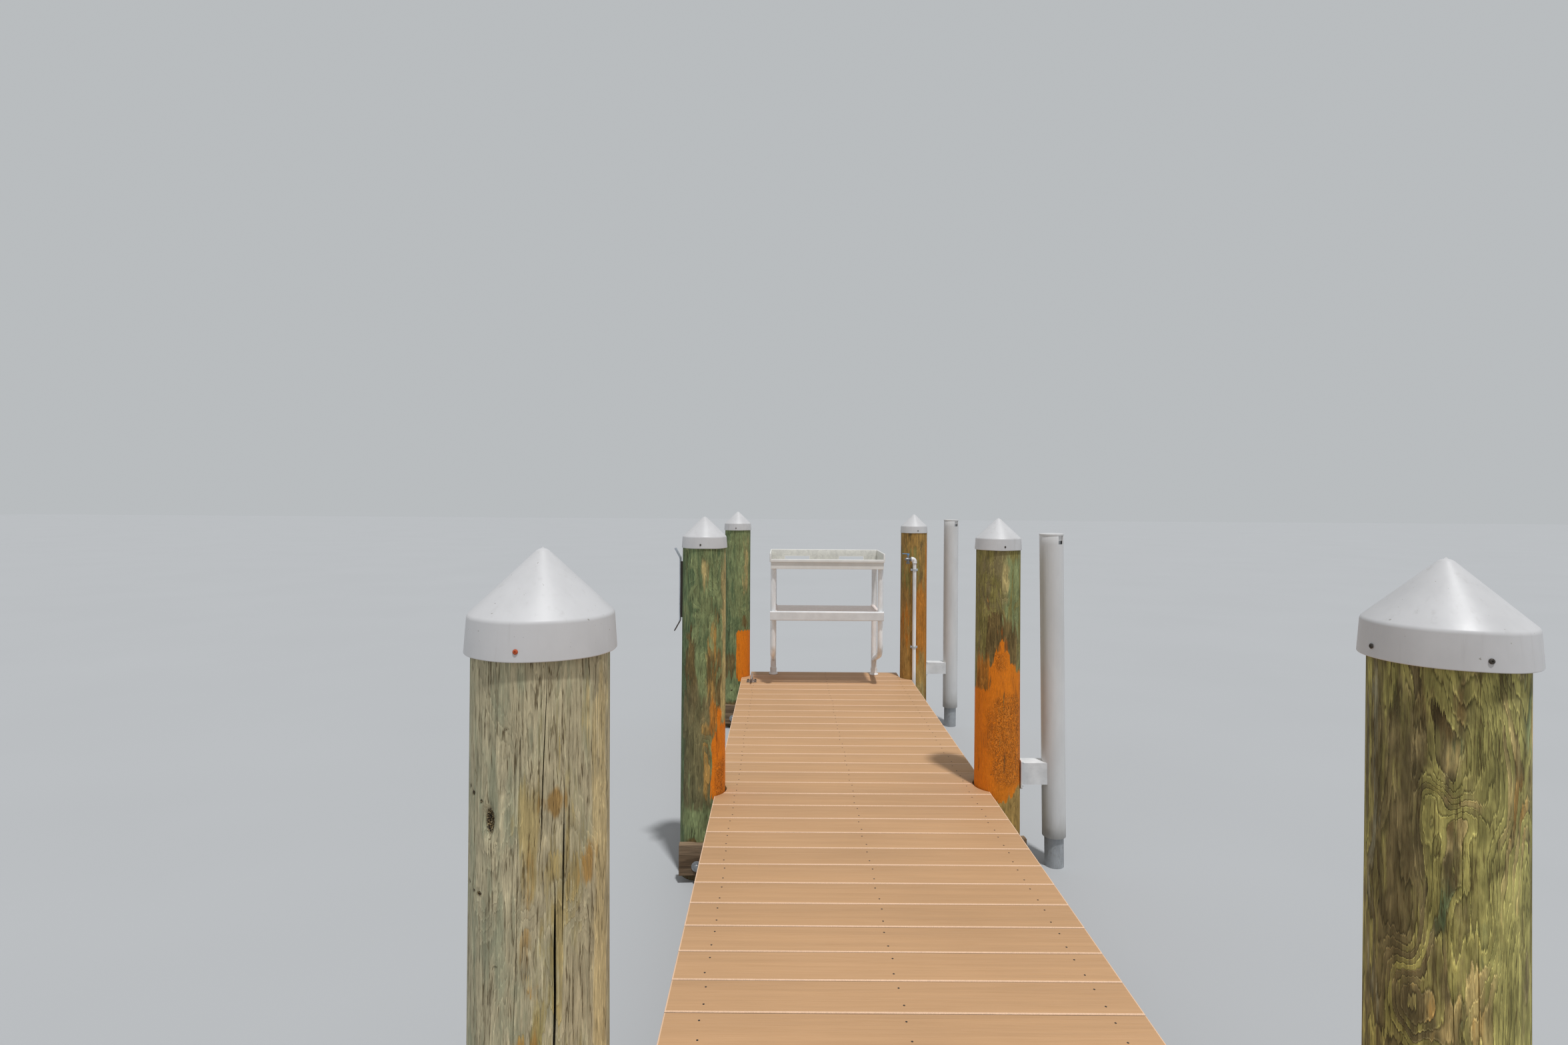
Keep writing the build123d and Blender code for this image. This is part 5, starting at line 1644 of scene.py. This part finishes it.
    def tray_finish(self, plastic):
        """White moulding, mottled and scratched inside."""
        low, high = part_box("table_tray")
        half = (high - low) / 2
        skin = Finish("tray_plastic", centre("table_tray"))
        mottle = skin.noise((38, 38, 38), 5, 0.65, 0.6)
        scratch = skin.noise((95, 95, 70), 2, 0.5, 2.5, 3.0)
        cloud = skin.noise((10, 10, 10), 3, 0.6, seed=5.0)
        clean = skin.grade(plastic.tray, cloud.step(0.3, 0.7, 0.95, 1.03))
        used = skin.grade(plastic.soiled, mottle.step(0.3, 0.7, 0.70, 1.25))
        used = skin.mix(abs(scratch - 0.5).step(0.035, 0.0, 0.0, 0.6), used, plastic.tray)
        across, along, up = abs(skin.axis("X")), skin.axis("Y"), skin.axis("Z")
        wall_x, wall_y = half.x - TRAY_WALL, half.y - TRAY_WALL
        inside = across.step(wall_x + 0.001, wall_x - 0.001)
        back = along.step(wall_y + 0.001, wall_y - 0.001)
        front = along.step(-wall_y - 0.001, -wall_y + 0.001)
        depth = up.step(TRAY_FLOOR - half.z - 0.004, TRAY_FLOOR - half.z - 0.001)
        below_rim = up.step(half.z - 0.003, half.z - 0.005)
        slot_x = abs(across - SLOT_OFFSET) - SLOT_WIDTH / 2
        slot_z = abs(up - ((TRAY_FLOOR + SLOT_TOP) / 2 - half.z)) - (SLOT_TOP - TRAY_FLOOR) / 2
        outline = skin.math("MAXIMUM", slot_x, slot_z).step(0.006, 0.004)
        near_back = along.step(wall_y - 0.004, wall_y - 0.002)
        part = inside * back * front * depth * below_rim * (1.0 - outline * near_back)
        return skin.done(skin.mix(part, clean, used), 0.5, skin.bump(mottle, 0.0006))


class JETTY_OT_standpipe(Operator):
    """Run the standpipe up the far right pile to its tap"""

    bl_idname = "jetty.standpipe"
    bl_label = "Standpipe"

    def execute(self, context):
        metal = context.scene.jetty_metal
        plastic = context.scene.jetty_plastic
        white = metal_finish("water_pipe_plastic", plastic.pipe, 0.36, 0.0, (30, 30, 8), 0.0003)
        strap = metal_finish("strap_zinc", scaled(metal.zinc, 1.4), 0.45, 0.6)
        brass = metal_finish("tap_metal", metal.brass, 0.38, 0.8, grime=metal.steel)
        blue = metal_finish("handle_blue", metal.blue, 0.32, 0.2)
        steel = metal_finish("tap_steel", metal.steel, 0.5, 0.5)
        low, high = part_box("standpipe")
        middle = (low.y + high.y) / 2
        across = high.x - 0.0175
        elbow = high.z - 0.0175
        shape = self.pipe(across, middle, low.z, elbow, low.x)
        piece("standpipe_run", shape, [white], ["standpipe"], 40)
        clamps = bmesh.new()
        bottom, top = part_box("pipe_clamps")
        for level in (bottom.z + 0.008, top.z - 0.008):
            put(clamps, self.strap(across, middle, level), at((across, middle, level)))
        piece("pipe_straps", clamps, [strap, steel], ["pipe_clamps"], 40)
        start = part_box("tap")[1].x
        piece("tap_body", self.tap(start, middle, elbow), [brass, steel], ["tap"], 40)
        piece("tap_lever", self.lever(middle), [blue, steel], ["tap_handle"], 40)
        return {"FINISHED"}

    def pipe(self, across, middle, bottom, elbow, end):
        """A plain pipe with a moulded elbow, its sockets a little thicker."""
        radius, wall, thick, reach = 0.01335, 0.0028, 0.0165, 0.030
        shape = bmesh.new()
        length = elbow - reach + 0.006 - bottom
        bore = radius - wall
        profile = [(bore, 0), (radius, 0), (radius, length), (bore, length), (bore, 0)]
        put(shape, turned(profile, 40), at((across, middle, bottom)))
        corners = [(across, middle, elbow - reach), (across, middle, elbow), (end, middle, elbow)]
        put(shape, swept(thick, rounded(corners, 0.017, 10), 40))
        collar = [(0, 0), (0.0172, 0), (0.0175, 0.0004), (0.0175, 0.0076), (0.0172, 0.008), (0, 0.008)]
        put(shape, turned(collar, 40), aim((across, middle, elbow - reach), (0, 0, 1)))
        put(shape, turned(collar, 40), aim((end, middle, elbow), (1, 0, 0)))
        return shape

    def strap(self, across, middle, level):
        """A strap round the pipe, its ears bent back to the pile, and its screws."""
        post = jetty_piles()["far_right"]
        legs = []
        for side in (-1, 1):
            aside = across + side * 0.024 - post.middle.x
            legs.append(post.middle.y - sqrt(post.radius(level) ** 2 - aside ** 2) - middle)
        left, right = legs
        reach, seat = 0.0152, -0.0045
        corners = [(-0.024, -left), (-0.024, seat), (-reach, seat), (-reach, reach), (reach, reach)]
        corners += [(reach, seat), (0.024, seat), (0.024, -right)]
        line = rounded(corners, [0.0026, 0.0018, 0.0150, 0.0150, 0.0018, 0.0026], 6)
        shape = bmesh.new()
        put(shape, strip(line, 0.016, 0.003, 0.0006), Matrix.Rotation(radians(90), 4, "X"))
        for side in (-1, 1):
            put(shape, pan_screw(0.0036), aim((side * 0.0200, 0.003, 0), (0, -1, 0)), 1)
        return shape

    def tap(self, start, middle, level):
        """A brass tap: hexagon, round body, gland, and a threaded spout."""
        shape = bmesh.new()
        place = aim((start, middle, level), (-1, 0, 0))
        put(shape, prism(0.015, 0.009, 0.0, 0.0008), place)
        body = [(0, 0.001), (0.0095, 0.001), (0.0095, 0.012), (0.0108, 0.014), (0.0110, 0.018)]
        body += [(0.0110, 0.034), (0.0104, 0.040), (0.0080, 0.0445), (0.0040, 0.046), (0, 0.046)]
        put(shape, turned(body, 32), place)
        heart = Vector((start - 0.023, middle, level))
        stem = [(0, 0.004), (0.0090, 0.004), (0.0090, 0.016), (0.0075, 0.0175), (0.0060, 0.018)]
        stem += [(0.0060, 0.0305), (0, 0.0305)]
        put(shape, turned(stem, 32), at(heart))
        put(shape, prism(0.0088, 0.006, 0.018, 0.0006), at(heart))
        spout = [(0, 0.004), (0.0090, 0.004), (0.0090, 0.0205)]
        for turn in range(4):
            base = 0.0212 + turn * 0.0032
            spout += [(0.0122, base), (0.0133, base + 0.0008)]
            spout += [(0.0133, base + 0.0016), (0.0122, base + 0.0024)]
        spout += [(0.0120, 0.034), (0.0100, 0.034), (0.0095, 0.030), (0, 0.030)]
        put(shape, turned(spout, 32), aim(heart, (0, 0, -1)))
        washer = [(0, 0.0302), (0.0094, 0.0302), (0.0094, 0.0310), (0, 0.0310)]
        put(shape, turned(washer, 24), aim(heart, (0, 0, -1)), 1)
        return shape

    def lever(self, middle):
        """The tap's handle, with its hub and screw."""
        low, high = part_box("tap_handle")
        width, rise = high.y - low.y, 0.005
        shape = bmesh.new()
        hub = Vector((high.x - width / 2, middle, low.z))
        hub_rise = high.z - low.z - rise
        profile = [(0, 0), (0.0094, 0), (0.0100, 0.0006), (0.0088, hub_rise), (0, hub_rise)]
        put(shape, turned(profile, 32), at(hub))
        outline = slot_outline(high.x - low.x, 0.016)
        plate = slab(outline, (0, 0, rise), 0.0012)
        put(shape, plate, at(((low.x + high.x) / 2, middle, high.z - rise)))
        put(shape, pan_screw(0.0036), at((hub.x, middle, high.z - 0.0004)), 1)
        return shape


class JETTY_OT_fittings(Operator):
    """Cast the mooring cleat and bend the line hanger"""

    bl_idname = "jetty.fittings"
    bl_label = "Cleat and hanger"

    def execute(self, context):
        metal = context.scene.jetty_metal
        cast = metal_finish("cleat_casting", metal.cast, 0.62, 0.35, (50, 50, 50), 0.0010, metal.steel)
        bolts = metal_finish("cleat_bolt_steel", metal.steel, 0.55, 0.5)
        piece("cleat_casting", self.cleat(), [cast, bolts], ["cleat"], 40)
        shape = self.hanger()
        piece("hanger_bar", shape, [self.bar_finish(metal), bolts], ["line_hanger"], 40)
        return {"FINISHED"}

    def cleat(self):
        """Two bolted feet, a waisted leg on each, and horns that rise to their tips."""
        low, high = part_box("cleat")
        middle = (low + high) / 2
        half = (high.y - low.y) / 2
        deck = deck_top()
        bore, tip, rise = 0.009, 0.005, 0.006
        horn = deck + 0.042 - bore
        shape = bmesh.new()
        profile = [(0, -half)]
        for step in range(1, 13):
            along = -half * cos(pi * step / 24)
            share = abs(along) / half
            profile.append(((bore + (tip - bore) * share) * sqrt(max(0.0, 1 - share ** 14)), along))
        profile += [(radius, -along) for radius, along in reversed(profile[:-1])]
        bar = turned(profile, 24)
        for vert in bar.verts:
            vert.co.x -= rise * abs(vert.co.z) / half
        lying = Matrix.Rotation(radians(-90), 4, "X") @ Matrix.Rotation(radians(90), 4, "Z")
        put(shape, bar, at((middle.x, middle.y, horn)) @ lying)
        for side in (-1, 1):
            base = at((middle.x, middle.y + side * 0.027, deck))
            put(shape, slab(slot_outline(0.076, 0.024), (0, 0, 0.006), 0.0016), base)
            leg = block((-0.013, -0.008, 0), (0.013, 0.008, 0.030))
            for level in (0.004, 0.010, 0.020):
                geom = leg.verts[:] + leg.edges[:] + leg.faces[:]
                bmesh.ops.bisect_plane(leg, geom=geom, plane_co=(0, 0, level), plane_no=(0, 0, 1))
            for vert in leg.verts:
                share = vert.co.z / 0.030
                vert.co.x *= 1 - 0.42 * share + 0.10 * (1 - share) ** 6
                vert.co.y *= 1 - 0.06 * share
            ways = [(edge, (edge.verts[0].co - edge.verts[1].co).normalized()) for edge in leg.edges]
            round_edges(leg, 0.003, [edge for edge, way in ways if abs(way.z) > 0.7])
            put(shape, leg, base @ at((0, 0, 0.004)))
            for across in (-0.027, 0.027):
                put(shape, bolt(0.0058, 0.0092), base @ at((across, 0, 0.0058)), 1)
        return shape

    def hanger(self):
        """A flat bar with flared ends on a backing strip, held by three screws."""
        low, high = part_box("line_hanger")
        pile = jetty_piles()["mid_left"]
        thick, flare, rise = 0.005, 0.025, 0.046
        bar = pile.middle.x - pile.radius(pile.rim) - 0.009 - thick / 2
        corners = [(bar - flare, low.z + 0.001), (bar, low.z + rise)]
        corners += [(bar, high.z - rise), (bar - flare, high.z - 0.001)]
        shape = bmesh.new()
        place = at((0, pile.middle.y, 0))
        put(shape, strip(rounded(corners, 0.024, 6), 0.040, thick, 0.0008), place)
        bottom, top = low.z + rise + 0.018, high.z - rise - 0.018
        skin = pile.middle.x - pile.radius(bottom)
        low_corner = (bar + thick / 2 - 0.0005, pile.middle.y - 0.015, bottom)
        high_corner = (skin + 0.006, pile.middle.y + 0.015, top)
        put(shape, block(low_corner, high_corner, 0.001), finish=1)
        for share in (0.08, 0.5, 0.92):
            spot = (bar - thick / 2, pile.middle.y, bottom + (top - bottom) * share)
            put(shape, pan_screw(0.0052), aim(spot, (-1, 0, 0)), 1)
        return shape

    def bar_finish(self, metal):
        """Galvanised bar, with painted shade on its lower end."""
        skin = Finish("hanger_zinc", centre("line_hanger"))
        cloud = skin.noise((40, 40, 12), 4, 0.6)
        fine = skin.noise((160, 160, 60), 3, 0.6, seed=3.0)
        shade = skin.grade(metal.bright, cloud.step(0.3, 0.7, 0.80, 1.10))
        # Painted shade darkens the bar's lower end and its flare.
        foot = skin.axis("Z") + cloud.around(0.05)
        shade = skin.mix(foot.step(-0.13, -0.15, 0.0, 0.9), shade, metal.steel)
        shade = skin.mix(fine.step(0.56, 0.76, 0.0, 0.5), shade, metal.steel)
        return skin.done(shade, cloud.step(0.3, 0.7, 0.38, 0.52), skin.bump(fine, 0.0005), metallic=0.45)


class JETTY_PT_panel(Panel):
    """Steps that dress the jetty, in order"""

    bl_idname = "JETTY_PT_panel"
    bl_label = "Timber jetty"
    bl_space_type = "VIEW_3D"
    bl_region_type = "UI"
    bl_category = "Jetty"

    def draw(self, context):
        for operator in OPERATORS:
            self.layout.operator(operator.bl_idname)
        for name in SETTINGS:
            self.layout.label(text=name.replace("_", " ").capitalize())
            settings = getattr(context.scene, name)
            for key in settings.__annotations__:
                self.layout.prop(settings, key)


OPERATORS = (
    JETTY_OT_stage,
    JETTY_OT_piles,
    JETTY_OT_caps,
    JETTY_OT_framing,
    JETTY_OT_deck,
    JETTY_OT_guide_poles,
    JETTY_OT_table,
    JETTY_OT_standpipe,
    JETTY_OT_fittings,
)
SETTINGS = {
    "jetty_timber": JettyTimber,
    "jetty_deck": JettyDeck,
    "jetty_plastic": JettyPlastic,
    "jetty_metal": JettyMetal,
    "jetty_stage": JettyStage,
}


def register():
    for group in SETTINGS.values():
        bpy.utils.register_class(group)
    for name, group in SETTINGS.items():
        setattr(bpy.types.Scene, name, PointerProperty(type=group))
    for operator in OPERATORS:
        bpy.utils.register_class(operator)
    bpy.utils.register_class(JETTY_PT_panel)


def unregister():
    bpy.utils.unregister_class(JETTY_PT_panel)
    for operator in reversed(OPERATORS):
        bpy.utils.unregister_class(operator)
    for name, group in SETTINGS.items():
        delattr(bpy.types.Scene, name)
        bpy.utils.unregister_class(group)


def main():
    register()
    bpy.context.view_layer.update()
    bpy.ops.jetty.stage()
    bpy.ops.jetty.piles()
    bpy.ops.jetty.caps()
    bpy.ops.jetty.framing()
    bpy.ops.jetty.deck()
    bpy.ops.jetty.guide_poles()
    bpy.ops.jetty.table()
    bpy.ops.jetty.standpipe()
    bpy.ops.jetty.fittings()


if __name__ == "__main__":
    main()
